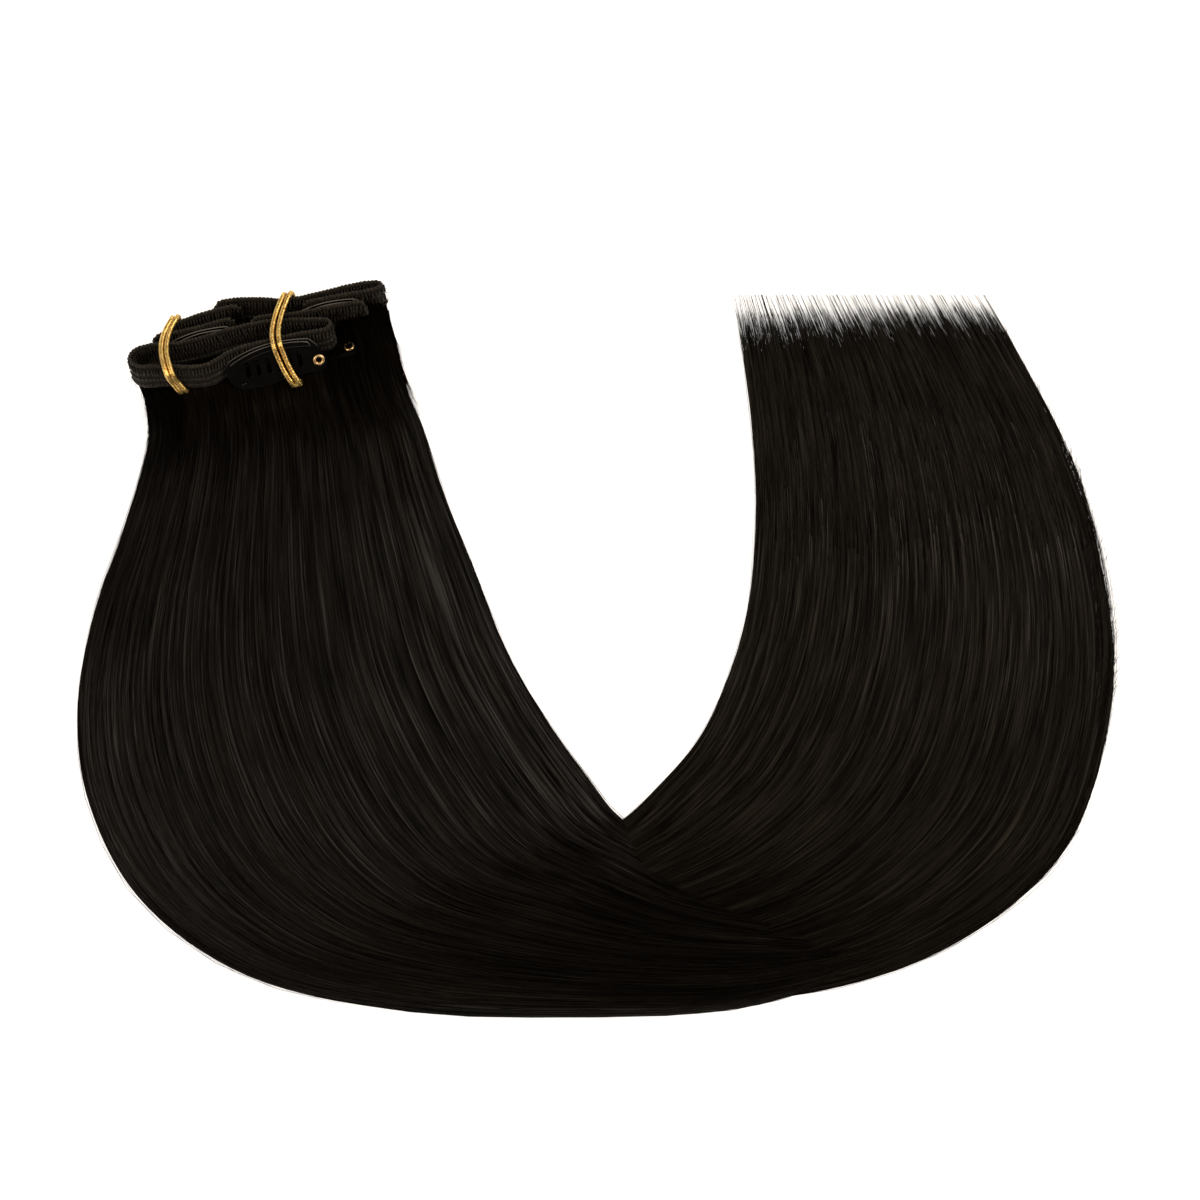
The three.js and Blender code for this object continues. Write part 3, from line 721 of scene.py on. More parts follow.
def lying(name, surface, count, seed, first_start, longest, lighter):
    """Strands that follow a run from a random start, wandering a little across it."""
    draw, along = np.random.default_rng(seed), np.linspace(0, 1, 9)
    across = draw.uniform(-0.003, 1 + 0.003, count)
    start = draw.uniform(first_start, 0.85, count)
    length = draw.uniform(0.08, longest, count)
    run = np.clip(start[:, None] + length[:, None] * along, 0, 1)
    drift = draw.normal(0, 0.006, count)[:, None] * along
    sway = draw.normal(0, 0.0016, count)[:, None]
    waves = along * draw.uniform(0.7, 1.6, (count, 1)) + draw.uniform(0, 1, (count, 1))
    lane = across[:, None] + drift + sway * np.sin(2 * math.pi * waves)
    paths = laid(surface, run, lane)
    paths[..., 2] += draw.uniform(0.04, 0.2, count)[:, None] * np.sin(math.pi * along) ** 0.5 + 0.02
    thin = np.minimum(1, 6 * np.minimum(along, 1 - along)) * 0.85 + 0.15
    radii = draw.uniform(0.04, 0.09, count)[:, None] * thin
    # lighter adds painted light to every strand of a run
    shades = in_two_tones(draw, count, 0.25, (0.35, 0.85), (0, 0.16)) + lighter
    return strands(name, paths, radii, shades, np.stack([lane, run], axis=-1))


# %% Strands on both runs
lying("first_run_strands", on_first, 2500, 31, 0.06, 0.34, 0.0)
# painted light: the second run's strands are 0.1 lighter, like its body
lying("second_run_strands", on_second, 2500, 32, 0.02, 0.36, 0.1)


# %% [markdown]
# The cut tips are strands of uneven length that get thinner towards their ends and gather in
# small locks. They start inside the second body, some well back and some near its end. At the
# outer side they reach the line of the tips in a dense brush, and at the inner side they stop
# a little short of it.

# %% Cut tips
LOCKS = 75


def cut_tips(count, rings, seed):
    draw, along = np.random.default_rng(seed), np.linspace(0, 1, rings)
    across = draw.uniform(0, 1, count)
    lock = np.rint(across * LOCKS)
    lock_short = draw.uniform(0, 1, LOCKS + 1)[lock.astype(int)] ** 1.7
    own = draw.uniform(0, 1, count) ** (0.75 + 0.1 * across)
    # in millimetres before the line of the tips
    short = 1.5 + 3 * (1 - across) ** 2 + (13 - 3 * across) * own + 4 * across * lock_short
    first = run_before_tips(across, short + 14 + 60 * draw.uniform(0, 1, count) ** 1.7)
    last = run_before_tips(across, short)
    run = first[:, None] + (last - first)[:, None] * along
    to_lock = (lock / LOCKS - across) * draw.uniform(0.0, 0.8, count) * across
    pulled = to_lock + draw.normal(0, 0.005, count)
    lane = across[:, None] + pulled[:, None] * along**1.5
    paths = laid(on_second, run, lane)
    paths[..., 2] *= 1 - draw.uniform(0.0, 0.75, count)[:, None] * along
    paths[..., 2] += 0.12
    radii = draw.uniform(0.06, 0.13, count)[:, None] * (1 - 0.8 * along**2)
    shades = in_two_tones(draw, count, 0.35, (0.5, 1.0), (0.2, 0.5))
    return strands("cut_tips", paths, radii, shades, np.stack([lane, run], axis=-1))


cut_tips(5000, 6, 41)


# %% [markdown]
# Shorter hairs work out of the outer side of the second run and a few stand off elsewhere.

# %% Short ends and flyaways
def leaving(name, surface, seed, count, lanes, starts, length, away):
    """Short hairs that leave a run sideways by up to away, as a share of its width."""
    draw, along = np.random.default_rng(seed), np.linspace(0, 1, 6)
    across, start = draw.uniform(*lanes, count), draw.uniform(*starts, count)
    run = np.clip(start[:, None] + draw.uniform(*length, count)[:, None] * along, 0, 0.98)
    lane = across[:, None] + draw.uniform(*away, count)[:, None] * along**1.7
    paths = laid(surface, run, lane)
    paths[..., 2] += draw.uniform(0, 0.4, count)[:, None] * along
    radii = draw.uniform(0.06, 0.12, count)[:, None] * (1 - 0.75 * along)
    shades = np.clip(draw.gamma(2.0, 0.08, count) + 0.08, 0, 0.6)
    # painted shade: strands beyond the outline lose most of their shine
    outside = np.repeat(np.clip((np.abs(lane.ravel() - 0.5) - 0.485) / 0.02, 0, 1), 3)
    return strands(name, paths, radii, shades, np.stack([lane, run], axis=-1), 0.1 + 0.7 * outside)


leaving("outer_short_ends", on_second, 51, 700, (0.945, 0.99), (0.56, 0.93), (0.02, 0.06),
        (0, 0.05))
leaving("bend_short_ends", on_second, 52, 200, (0.975, 0.998), (0.3, 0.6), (0.03, 0.07), (0, 0.01))
leaving("outer_flyaways", on_first, 53, 80, (0.98, 1), (0.25, 0.8), (0.04, 0.1), (-0.004, 0.002))
leaving("inner_flyaways", on_first, 54, 60, (0, 0.01), (0.2, 0.6), (0.03, 0.08), (-0.006, 0))

# %% [markdown]
# ## Wefts
# A weft is cloth-like: the hair is sewn in between threads, over and over, until a strip
# forms. Loops wrap its top edge, upright ribs stand on its faces and rows of chain stitch run
# along it. The strip is a grid rolled round the weft's section. One loop, one chain stitch and
# one rib are modelled and copied along the strip, so the sewing is real relief and not bump.

# %% Where the wefts run
# is it a closed ring, clips passed, and points: share of the stack's length, walls passed
WEFTS = {
    "front_weft": (True, 0, [
        (0.007, 1.43), (0.013, 0.38), (0.038, -0.57), (0.089, -1.14), (0.158, -1.9),
        (0.238, -2.86), (0.292, -3.0), (0.333, -2.4), (0.369, -1.65), (0.417, -1.15),
        (0.476, -0.95), (0.56, -0.86), (0.649, -0.8), (0.72, -0.98), (0.76, -0.84),
        (0.776, 0), (0.764, 0.86), (0.726, 1.38), (0.626, 2.38), (0.548, 3.0),
        (0.461, 3.14), (0.369, 2.95), (0.275, 2.48), (0.181, 2.48), (0.104, 3.19),
        (0.045, 3.14), (0.017, 2.48)]),
    "middle_weft": (False, 1, [
        (0.1, 3.9), (0.143, 4.1), (0.19, 3.86), (0.286, 3.95), (0.405, 4.38), (0.424, 4.43)]),
    "rear_weft": (False, 1, [
        (0.179, 5.38), (0.22, 5.81), (0.274, 6.24), (0.333, 6.52), (0.393, 6.67), (0.458, 6.72)]),
    "right_weft": (False, 0, [
        (0.476, 4.24), (0.56, 4.02), (0.631, 3.5), (0.714, 3.32), (0.786, 3.24), (0.857, 3.14),
        (0.925, 3.1)]),
    "looped_weft": (False, 1, [
        (0.352, 7.71), (0.387, 8.1), (0.44, 7.95), (0.5, 7.38), (0.56, 6.62), (0.607, 5.86),
        (0.667, 5.57), (0.762, 5.62), (0.857, 5.81), (0.94, 5.76), (0.981, 5.38),
        (0.995, 4.86), (0.983, 4.3), (0.945, 4.08), (0.881, 4.18), (0.786, 4.3), (0.679, 4.41)]),
}


class WeftLine:
    """The middle of a weft's top edge, by its length in millimetres."""

    def __init__(self, closed, clips, points):
        self.closed = closed
        places = np.array([
            (along * stack_length, back_by(layers, clips)) for along, layers in points])
        self.line = centripetal(places, np.linspace(0, 1, 2001), closed)
        steps = np.linalg.norm(np.diff(self.line, axis=0), axis=1)
        self.far = np.concatenate([[0], np.cumsum(steps)])
        self.length = self.far[-1]

    def at(self, far):
        """Places and the directions along and aside."""
        def spot(f):
            f = np.mod(f, self.length) if self.closed else np.clip(f, 0, self.length)
            return np.stack([np.interp(f, self.far, self.line[:, i]) for i in (0, 1)], 1)
        place = spot(far)
        ahead = spot(far + 0.4) - spot(far - 0.4)
        ahead /= np.linalg.norm(ahead, axis=1, keepdims=True)
        return place, ahead, np.stack([-ahead[:, 1], ahead[:, 0]], 1)

    def stitch(self, far, lean=0.0):
        """One place, the direction aside there, and the axes of a stitch that leans ahead."""
        (place,), (ahead,), (aside,) = self.at(np.array([far]))
        return place, aside, np.array([[*ahead, 0], [*aside, 0], [*ahead * lean, 1]])


lines = {name: WeftLine(*row) for name, row in WEFTS.items()}
print("weft lengths, mm:", {name: round(line.length) for name, line in lines.items()})

# %% Strips
strip_wall, strip_step = weft_wall - 0.5, 0.8  # the sewing makes up the rest of the wall
# up one face of the section: share of half the wall, share of the height
FACE = [(-0.7, 0), (-1, 0.04), (-0.82, 0.14), (-1, 0.24), (-0.8, 0.36), (-0.8, 0.5),
        (-0.8, 0.62), (-0.84, 0.76), (-0.78, 0.88), (-0.5, 0.945)]
STRIP_SECTION = np.array([*FACE, (0, 0.96), *((-x, y) for x, y in FACE[::-1]), FACE[0]])


def end_height(line, far):
    """How high a weft stands, as a share: an open one is rounded off at its two ends."""
    if line.closed:
        return np.ones(len(far))
    near = np.clip(np.minimum(far, line.length - far) / 3.0, 0, 1)
    return 1 - 0.3 * (1 - near) ** 2


def strip(name, line):
    """The sewn strip itself, closed at its ends."""
    cells = len(STRIP_SECTION) - 1

    def rule(u, v):
        corner = np.rint(u * cells).astype(int)
        place, _, aside = line.at(v * line.length)
        pull = 1 + 0.06 * np.sin(v * line.length * 2.1)
        out = STRIP_SECTION[corner, 0] * strip_wall / 2 * pull
        flat = place + aside * out[:, None]
        up = STRIP_SECTION[corner, 1] * weft_height * end_height(line, v * line.length)
        return through(stack, np.column_stack([flat, up]))

    return laid_grid(name, cells, round(line.length / strip_step), rule, ground)


# %% [markdown]
# The loop is a ring of five corners, spun over the top edge and pulled down on both sides. The
# chain stitch and the rib are small balls, stretched along the row and upright. The chain
# stitch is also turned a little, so that a row of them looks plaited.

# %% One loop, one chain stitch and one rib
def mesh_of(piece):
    """The points and faces of a small model, which is then removed."""
    points = np.array([v.co for v in piece.data.vertices]) / MM
    faces = [tuple(p.vertices) for p in piece.data.polygons]
    bpy.data.objects.remove(piece)
    return points, faces


def one_loop(thick=0.3, down=3.6):
    """A thread over the top edge: X along the weft, Y across its wall and Z up it."""
    deselect()
    half = weft_wall / 2 - 0.7 * thick
    bpy.ops.mesh.primitive_circle_add(vertices=5, radius=thick * MM, fill_type="NOTHING",
                                      location=(0, -half * MM, -down * MM))
    piece = bpy.context.object
    bpy.ops.object.transform_apply(location=True)
    edit_all()
    straight = (down - half) * MM
    bpy.ops.mesh.extrude_region_move(TRANSFORM_OT_translate={"value": (0, 0, straight)})
    bpy.ops.mesh.spin(steps=6, angle=-math.pi, center=(0, 0, -half * MM), axis=(1, 0, 0))
    bpy.ops.mesh.extrude_region_move(TRANSFORM_OT_translate={"value": (0, 0, -straight)})
    close_up(1e-7)
    return mesh_of(piece)


def stretched_ball(segments, rings, stretch, lean=0.0):
    """A small ball stretched into a stitch, and turned a little towards its row."""
    deselect()
    bpy.ops.mesh.primitive_uv_sphere_add(segments=segments, ring_count=rings, radius=0.5 * MM,
                                         location=(0, 0, 0))
    piece = bpy.context.object
    edit_all()
    bpy.ops.transform.resize(value=stretch)
    bpy.ops.transform.rotate(value=lean, orient_axis="Y", center_override=(0, 0, 0))
    bpy.ops.object.mode_set(mode="OBJECT")
    return mesh_of(piece)


loop_model = one_loop()
chain_model = stretched_ball(8, 5, (1.6, 0.75, 1.25), lean=0.42)
rib_model = stretched_ball(6, 6, (0.66, 0.6, 3.3))
print("faces of a loop, a chain stitch and a rib:",
      [len(faces) for points, faces in (loop_model, chain_model, rib_model)])


# %% Sewing
def copied(name, parts):
    """Copies of small models as one mesh: each part is points, faces and where they go."""
    points, faces, start = [], [], 0
    for model, outline, frames in parts:
        for turn, place in frames:
            points.append(model @ turn + place)
            faces += [tuple(i + start for i in face) for face in outline]
            start += len(model)
    return settled(piece_of(name, np.concatenate(points), faces), thread)


turned = np.array(stack.to_3x3()).T
LOOP_PITCH, CHAIN_PITCH, SEAM_END = 1.04, 1.22, 0.3


def sewing(name, line, seed):
    """Ribs on the faces in sight, loops over the top edge and rows of chain stitch."""
    draw = np.random.default_rng(seed)
    loops, chains, ribs = [], [], []
    end = line.length - SEAM_END

    def sew(stitches, axes, spot, grow):
        stitches.append((np.diag(grow) @ axes @ turned, through(stack, np.array(spot))))

    for side in ((1,) if line.closed else (-1, 1)):
        for far in np.arange(0.9, end, LOOP_PITCH):
            place, aside, axes = line.stitch(far + draw.normal(0, 0.05), draw.normal(0.08, 0.07))
            up = 0.42 * weft_height + draw.normal(0, 0.12)
            sew(ribs, axes, (*(place + aside * side * (weft_wall / 2 - 0.3)), up),
                draw.uniform(0.88, 1.1, 3))
    for far in np.arange(0.5, end, LOOP_PITCH):
        place, _, axes = line.stitch(far, draw.normal(0.06, 0.06))
        grow = draw.uniform(0.9, 1.1, 3)
        (tall,) = end_height(line, np.array([far]))
        up = weft_height * tall - 0.02 + draw.normal(0, 0.06)
        sew(loops, axes, (*place, up), (grow[0], 1, grow[2]))
    # how high each row lies, and on which face, where 0 is the top edge
    rows = [(0.16, -1), (0.42, -1), (0.16, 1), (0.985, 0)]
    if not line.closed:
        rows.remove((0.42, -1))  # ribs stand there instead
    for row, side in rows:
        for far in np.arange(0.6 + draw.uniform(0, 0.5), end, CHAIN_PITCH):
            place, aside, axes = line.stitch(far)
            (tall,) = end_height(line, np.array([far]))
            up = row * tall * weft_height + draw.normal(0, 0.05)
            sew(chains, axes, (*(place + aside * side * (weft_wall / 2 - 0.27)), up),
                draw.uniform(0.9, 1.1, 3) * (1, 1.0 if side else 1.6, 1))
    return copied(name, [(*loop_model, loops), (*chain_model, chains), (*rib_model, ribs)])


for number, (name, line) in enumerate(lines.items()):
    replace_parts(strip(name + "_strip", line), name)
    sewing(name + "_sewing", line, 60 + number)


# %% [markdown]
# Where the hair leaves a strip, short hairs stick out of the sewing, most of all at the right
# end, where the loop's face is seen. Longer ones come out of a weft and lie down on the first
# run, so the stack and the hair under it are not two separate things.

# %% Frizz
def frizz(name, line, seed, count, part, length):
    """Short curled hairs on a part of a weft, as shares of its length."""
    draw, along = np.random.default_rng(seed), np.linspace(0, 1, 6)
    far = draw.uniform(*part, count) * line.length
    place, ahead, aside = line.at(far)
    aside = aside * np.where(draw.uniform(size=count) < 0.5, -1.0, 1.0)[:, None]
    height = draw.uniform(0, 0.95, count) * weft_height
    foot = np.column_stack([place + aside * weft_wall / 2, height])
    forward, outward = draw.normal(0, 0.7, count), draw.uniform(0.1, 0.6, count)
    flat = ahead * forward[:, None] + aside * outward[:, None]
    heading = np.column_stack([flat, -draw.uniform(0.2, 1.0, count)])
    heading /= np.linalg.norm(heading, axis=1, keepdims=True)
    curl = draw.normal(0, 0.45, (count, 1, 3)) * along[:, None] ** 2 * 0.5
    reach = draw.uniform(*length, count)[:, None, None]
    paths = foot[:, None] + reach * (heading[:, None] * along[:, None] + curl)
    paths = through(stack, paths.reshape(-1, 3)).reshape(paths.shape)
    radii = draw.uniform(0.04, 0.075, count)[:, None] * (1 - 0.7 * along)
    uv = np.broadcast_to(np.stack([far / 100, far / 50], 1)[:, None], (count, len(along), 2))
    return strands(name, paths, radii, np.clip(draw.gamma(2.0, 0.12, count) + 0.1, 0, 0.6), uv)


def over_the_root(name, line, seed, count, part, height, reach):
    """Hair that comes out of a weft's foot and lays itself over the first run."""
    draw, along = np.random.default_rng(seed), np.linspace(0, 1, 9)
    far = draw.uniform(*part, count) * line.length
    foot, _, _ = line.at(far)
    start = through(stack, np.column_stack([foot, draw.uniform(*height, count) * weft_height]))
    across = 1 - foot[:, 0] / stack_length / 0.98 + draw.normal(0, 0.004, count)
    lane = np.clip(across, -0.004, 1)[:, None] + draw.normal(0, 0.012, count)[:, None] * along**2
    run = 0.035 + draw.uniform(*reach, count)[:, None] * along
    lain = laid(on_first, run, lane)
    lain[..., 2] += draw.uniform(0.15, 0.7, count)[:, None] * (1 - along)
    drop = np.clip(along / 0.3, 0, 1)[:, None]
    drop = drop**2 * (3 - 2 * drop)
    paths = start[:, None] * (1 - drop) + lain * drop
    radii = draw.uniform(0.06, 0.12, count)[:, None] * (1 - 0.7 * along)
    shades = np.clip(draw.gamma(2.0, 0.1, count), 0, 0.6)
    # painted shade: these hairs by the root keep only half their shine
    return strands(name, paths, radii, shades, np.stack([lane, run], axis=-1), shine_painted_out=0.5)


# %% Hair and frizz of each weft
# weft, seed, count, part of the weft's length, height of the start, how far down the run
for weft, *rest in (("front_weft", 83, 500, (0.0, 0.11), (0.0, 0.2), (0.04, 0.2)),
                    ("looped_weft", 81, 900, (0.58, 0.97), (0.0, 0.6), (0.04, 0.18)),
                    ("right_weft", 82, 600, (0.72, 1.0), (0.0, 0.45), (0.04, 0.18))):
    over_the_root(weft + "_hair", lines[weft], *rest)
# weft, piece, seed, count, part of the weft's length, lengths
for weft, ending, *rest in (("looped_weft", "frizz", 71, 700, (0.52, 1.0), (1.5, 4.0)),
                            ("looped_weft", "end_frizz", 74, 120, (0.0, 0.06), (0.8, 2.5)),
                            ("middle_weft", "end_frizz", 75, 160, (0.88, 1.0), (1.0, 3.0)),
                            ("rear_weft", "end_frizz", 76, 220, (0.84, 1.0), (1.0, 3.5)),
                            ("front_weft", "frizz", 72, 500, (0.0, 1.0), (0.8, 2.5)),
                            ("right_weft", "frizz", 73, 260, (0.4, 1.0), (1.0, 3.5)),
                            ("right_weft", "end_frizz", 77, 120, (0.0, 0.1), (1.0, 3.0))):
    frizz(weft + "_" + ending, lines[weft], *rest)

# %% [markdown]
# ## Snap clips
# A snap clip is two leaves of pressed steel under black lacquer: a broad one with comb slots
# and a narrow spring along its top edge, held by a hollow brass eyelet at one end and a rivet
# at the other. A leaf starts as a filled circle whose rim is moved on to the clip's outline.
# It is extruded, the slots are cut by a Boolean, and its edges are bevelled to catch light.

# %% Where the clips sit
def clip_frame(along, back, up, tilt, turn):
    """A clip's own frame in the part: X along it, Y up it, and Z out of its face."""
    return (stack @ Matrix.Translation((along * stack_length, back, up))
            @ Matrix.Rotation(turn, 4, "Z") @ Matrix.Rotation(tilt, 4, "X"))


front_clip_lean, upright = math.radians(25), math.pi / 2
front_clip_back, front_clip_up = back_by(-1.4, -0.5), weft_height + 0.5
between_up = weft_height - 0.2  # of the clips that stand between two wefts
CLIPS = {
    "front_clip": (long_clip, clip_frame(
        0.543, front_clip_back, front_clip_up, upright - front_clip_lean, 0)),
    "under_clip": (long_clip, clip_frame(
        under_clip_along, under_clip_back, -fit - clip_wall / 2, 0, 0)),
    "right_clip": (short_clip, clip_frame(0.78, back_by(3.77, 0.5), between_up, upright, -0.026)),
    "middle_clip": (short_clip, clip_frame(0.286, back_by(3.44, 0.5), between_up, upright, 0.028)),
}
# a start and then curves: control point and end, as shares of the length and height
COMB_OUTLINE = ((0, -0.42), [
    ((0.02, -0.26), (0.09, -0.2)), ((0.28, -0.02), (0.5, 0)), ((0.7, 0), (0.86, -0.08)),
    ((0.93, -0.2), (1, -0.6)), ((1, -0.88), (0.92, -0.88)), ((0.76, -0.89), (0.6, -0.9)),
    ((0.36, -1.02), (0.18, -0.97)), ((0.02, -0.9), (0, -0.42))])
SPRING_OUTLINE = ((0.06, -0.3), [
    ((0.28, -0.06), (0.5, -0.035)), ((0.7, -0.035), (0.85, -0.12)), ((0.865, -0.18), (0.87, -0.24)),
    ((0.7, -0.16), (0.5, -0.155)), ((0.3, -0.17), (0.08, -0.42)), ((0.06, -0.38), (0.06, -0.3))])
RIM_STEPS = 8
edge_bevel = 0.17
comb_slot, rivet_radius, eyelet_bore, eyelet_radius = 1.3, 1.0, 0.9, 1.9


# %% A pressed leaf
def outline(start, curves, size):
    """The rim of a leaf, in millimetres, counter-clockwise."""
    points, here = [], np.array(start)
    for control, end in curves:
        control, end = np.array(control), np.array(end)
        for t in np.arange(RIM_STEPS) / RIM_STEPS:
            points.append((1 - t) ** 2 * here + 2 * t * (1 - t) * control + t * t * end)
        here = end
    return ((np.array(points) - (0.5, 0)) * size)[::-1]


def choose(piece):
    """Selects one piece and makes it active, for operators that work on objects."""
    deselect()
    piece.select_set(True)
    bpy.context.view_layer.objects.active = piece


def apply_modifier(piece, kind, **settings):
    modifier = piece.modifiers.new(kind, kind)
    for setting, value in settings.items():
        setattr(modifier, setting, value)
    choose(piece)
    bpy.ops.object.modifier_apply(modifier=modifier.name)


def leaf(name, shape, size, low, cutters=()):
    """A pressed leaf in its clip's own frame."""
    rim = outline(*shape, size)
    deselect()
    bpy.ops.mesh.primitive_circle_add(vertices=len(rim), radius=1, fill_type="NGON")
    piece = named(name)
    angles = [math.atan2(v.co.y, v.co.x) % (2 * math.pi) for v in piece.data.vertices]
    for place, index in zip(rim, np.argsort(angles)):
        piece.data.vertices[index].co = (place[0] * MM, place[1] * MM, low * MM)
    edit_all()
    bpy.ops.mesh.extrude_region_move(TRANSFORM_OT_translate={"value": (0, 0, clip_leaf * MM)})
    turn_outward()
    for bar in cutters:
        apply_modifier(piece, "BOOLEAN", operation="DIFFERENCE", solver="EXACT", object=bar)
        bpy.data.objects.remove(bar)
    apply_modifier(piece, "BEVEL", width=edge_bevel * MM, segments=2, limit_method="ANGLE")
    bpy.ops.object.shade_smooth_by_angle(angle=math.radians(40))
    # a painted highlight: the rim faces along the upper edge are painted pale grey, for the lamps'
    # light lines there
    points, middle = piece.data.vertices, (low + clip_leaf / 2) * MM
    edge = np.array([abs(v.normal.z) < 0.97 and v.co.z > middle for v in points])
    high = np.array([v.co.y for v in points]) / MM / size[1]
    return marked(piece, "rim_highlight_paint", edge * np.clip((high + 0.34) / 0.16, 0, 1))


# %% Slots and holes
def cutter(x, y, wide, high):
    """An upright round-ended bar that cuts one slot, or a round hole where high is 0."""
    deselect()
    bpy.ops.mesh.primitive_cylinder_add(vertices=20, radius=wide / 2 * MM, depth=4 * MM,
                                        location=(x * MM, y * MM, 0))
    bar = bpy.context.object
    bpy.ops.object.transform_apply(location=True)
    for v in bar.data.vertices:
        if v.co.y > y * MM + 1e-9:
            v.co.y += high * MM
    return bar


# %% Clips
def carry(piece, matrix):
    """Puts the frame's place in the mesh, so the object itself stays at the origin."""
    piece.data.transform(Matrix.Scale(MM, 4) @ matrix @ Matrix.Scale(1 / MM, 4))


def placed(piece, matrix, node, look=lacquer):
    """Puts a piece in its place and in place of its CAD node."""
    carry(piece, matrix)
    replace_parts(settled(piece, look), node)


def snap_clip(name, size, matrix):
    length, height = size
    low = -clip_wall / 2
    slots = round(length / (4 * comb_slot))
    holes = [cutter(((i + 0.5) / slots - 0.53) * 0.62 * length, -0.66 * height,
                    comb_slot, 0.3 * height) for i in range(slots)]
    ring_at, pin_at = (0.42 * length, -0.62 * height), (-0.34 * length, -0.84 * height)
    holes += [cutter(*ring_at, 2 * (eyelet_bore + 2 * fit), 0),
              cutter(*pin_at, rivet_radius + 2 * fit, 0)]
    comb = leaf(name + "_comb_leaf", COMB_OUTLINE, size, low, holes)
    placed(comb, matrix, name + "_comb")
    spring = leaf(name + "_spring_leaf", SPRING_OUTLINE, size, low + clip_leaf + fit)
    placed(spring, matrix, name + "_spring")

    deselect()
    flange, thick = (eyelet_radius + eyelet_bore) / 2, (eyelet_radius - eyelet_bore) / 2
    bpy.ops.mesh.primitive_torus_add(
        major_radius=flange * MM, minor_radius=thick * MM, major_segments=40,
        minor_segments=14, location=(0, 0, 0))
    ring = named(name + "_eyelet_ring")
    top = low + clip_leaf + fit / 2
    for v in ring.data.vertices:
        inner = math.hypot(v.co.x, v.co.y) < flange * MM
        if v.co.z < 0:
            v.co.z = (low if inner else top) * MM
        else:
            v.co.z = (top + 0.75 * v.co.z / (thick * MM) * (clip_wall / 2 - top)) * MM
        v.co.x += ring_at[0] * MM
        v.co.y += ring_at[1] * MM
    choose(ring)
    bpy.ops.object.shade_smooth_by_angle(angle=math.radians(50))
    placed(ring, matrix, name + "_eyelet", brass)

    deselect()
    bpy.ops.mesh.primitive_uv_sphere_add(
        segments=24, ring_count=12, radius=rivet_radius * MM, location=(0, 0, 0))
    pin = named(name + "_rivet_head")
    edit_all()
    bpy.ops.mesh.bisect(plane_co=(0, 0, 0), plane_no=(0, 0, 1), clear_inner=True, use_fill=True)
    bpy.ops.object.mode_set(mode="OBJECT")
    for v in pin.data.vertices:
        v.co = (v.co.x + pin_at[0] * MM, v.co.y + pin_at[1] * MM, top * MM + 0.62 * v.co.z)
    placed(pin, matrix, name + "_rivet")


for name, (size, matrix) in CLIPS.items():
    snap_clip(name, size, matrix)

# %% [markdown]
# ## Gold elastics
# Each tie is two strands of plaited gold elastic round the whole stack. A strand is a long
# grid rolled into a closed ring, and its surface rises and falls in two crossing spirals,
# which is how a plait looks from close by. A small crimp under the wefts joins the strands.

# %% Ties
tie_radius = 0.85
tie_out = fit + tie_radius
tie_under = fit + clip_wall + tie_out
clip_off = clip_wall / 2 + tie_out


def on_tie(along, back, up):
    return along * stack_length, back, up


def over(along, layers, clips=0):
    return on_tie(along, back_by(layers, clips), weft_height + tie_out)


def under(along, layers, clips=0, deeper=0):
    return on_tie(along, back_by(layers, clips), -tie_under - deeper)


def behind(along, layers, up):
    return on_tie(along, back_by(layers, 1) + weft_wall / 2 + tie_out, up * weft_height)


def before(along, layers, up):
    return on_tie(along, back_by(layers) - weft_wall / 2 - tie_out, up * weft_height)


def on_front_clip(along, down, off):
    drop, sine, cosine = down * long_clip[1], math.sin(front_clip_lean), math.cos(front_clip_lean)
    return on_tie(along, front_clip_back - drop * sine - off * cosine,
                  front_clip_up - drop * cosine + off * sine)


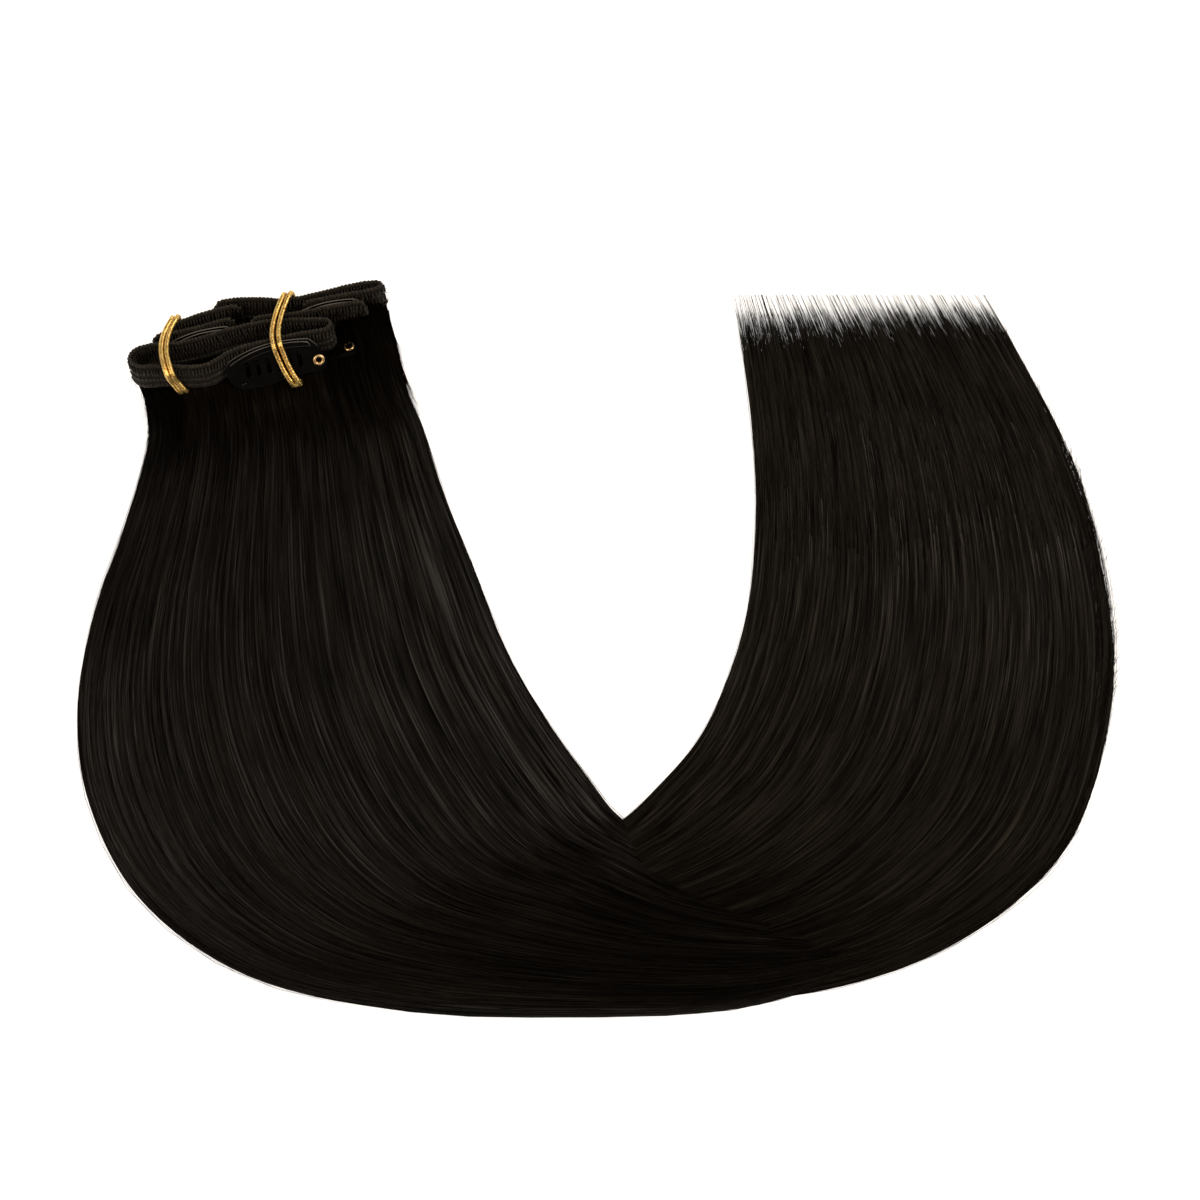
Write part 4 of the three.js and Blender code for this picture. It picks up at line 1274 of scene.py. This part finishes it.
TIES = {
    "left_tie": (2.02 * tie_radius, [
        over(0.199, 6.0, 1), over(0.169, 4.1, 1), over(0.146, 2.4), over(0.138, 0),
        over(0.14, -1.8), before(0.145, -2.3, 0.92), before(0.157, -2.02, 0.45),
        before(0.176, -2.2, 0.05), under(0.187, -2.1), under(0.192, 0.5), under(0.195, 3.2),
        under(0.2, 5.3, 1, -0.9), behind(0.205, 6.05, 0.12), behind(0.206, 6.15, 0.5),
        behind(0.205, 6.2, 0.9)]),
    "right_tie": (2.5 * tie_radius, [
        over(0.635, 6.05, 1), over(0.602, 4.3), over(0.58, 2), over(0.566, -0.2),
        on_front_clip(0.563, 0, clip_off), on_front_clip(0.568, 0.26, clip_off),
        on_front_clip(0.58, 0.62, clip_off), on_front_clip(0.597, 0.93, clip_off),
        on_front_clip(0.604, 1.07, 0.3), on_front_clip(0.604, 1, -clip_off - 0.5),
        under(0.605, -1, 0, 0.3), under(0.608, 3.2), under(0.624, 5.5, 0.6, -0.6),
        behind(0.64, 6.08, 0.12), behind(0.645, 6.3, 0.5), behind(0.642, 6.1, 0.88)]),
}
plait_pitch = 1.15


def tie_strand(name, path, aside):
    """One plaited strand, a closed ring."""
    points = np.array(path) + (aside, 0, 0)
    dense = centripetal(points, np.linspace(0, 1, 1601), True)
    far = np.concatenate([[0], np.cumsum(np.linalg.norm(np.diff(dense, axis=0), axis=1))])
    turns = round(far[-1] / plait_pitch)

    def spot(share):
        place = np.mod(share, 1.0) * far[-1]
        return np.stack([np.interp(place, far, dense[:, i]) for i in range(3)], 1)

    def rule(u, v):
        place, ahead = spot(v), spot(v + 0.002) - spot(v - 0.002)
        ahead /= np.linalg.norm(ahead, axis=1, keepdims=True)
        side = np.broadcast_to((1.0, 0, 0), ahead.shape)
        side = side - ahead * (side * ahead).sum(1, keepdims=True)
        side /= np.linalg.norm(side, axis=1, keepdims=True)
        up = np.cross(ahead, side)
        angle, twist = 2 * math.pi * u, 2 * math.pi * turns * v
        plait = np.maximum(np.abs(np.cos(2 * angle + twist)), np.abs(np.cos(2 * angle - twist)))
        radius = tie_radius * (0.5 + 0.5 * plait)
        out = side * np.cos(angle)[:, None] + up * np.sin(angle)[:, None]
        return through(stack, place + out * radius[:, None])

    return laid_grid(name, 16, turns * 6, rule, gold)


def crimp(name, path, spacing):
    """A rounded metal sleeve where the two strands are joined."""
    seat = next(p for p in path if p[2] < -tie_under + 0.01)
    deselect()
    bpy.ops.mesh.primitive_cylinder_add(
        vertices=24, radius=1.12 * tie_radius * MM, depth=(spacing + 1.4) * MM,
        location=(0, 0, 0), rotation=(0, math.pi / 2, 0))
    piece = named(name)
    bpy.ops.object.transform_apply(rotation=True)
    apply_modifier(piece, "BEVEL", width=0.3 * MM, segments=3)
    bpy.ops.object.shade_smooth_by_angle(angle=math.radians(40))
    carry(piece, stack @ Matrix.Translation(seat))
    return settled(piece, gold)


for name, (spacing, path) in TIES.items():
    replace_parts(tie_strand(name + "_left_strand", path, -spacing / 2), name)
    tie_strand(name + "_right_strand", path, spacing / 2)
    crimp(name + "_crimp", path, spacing)
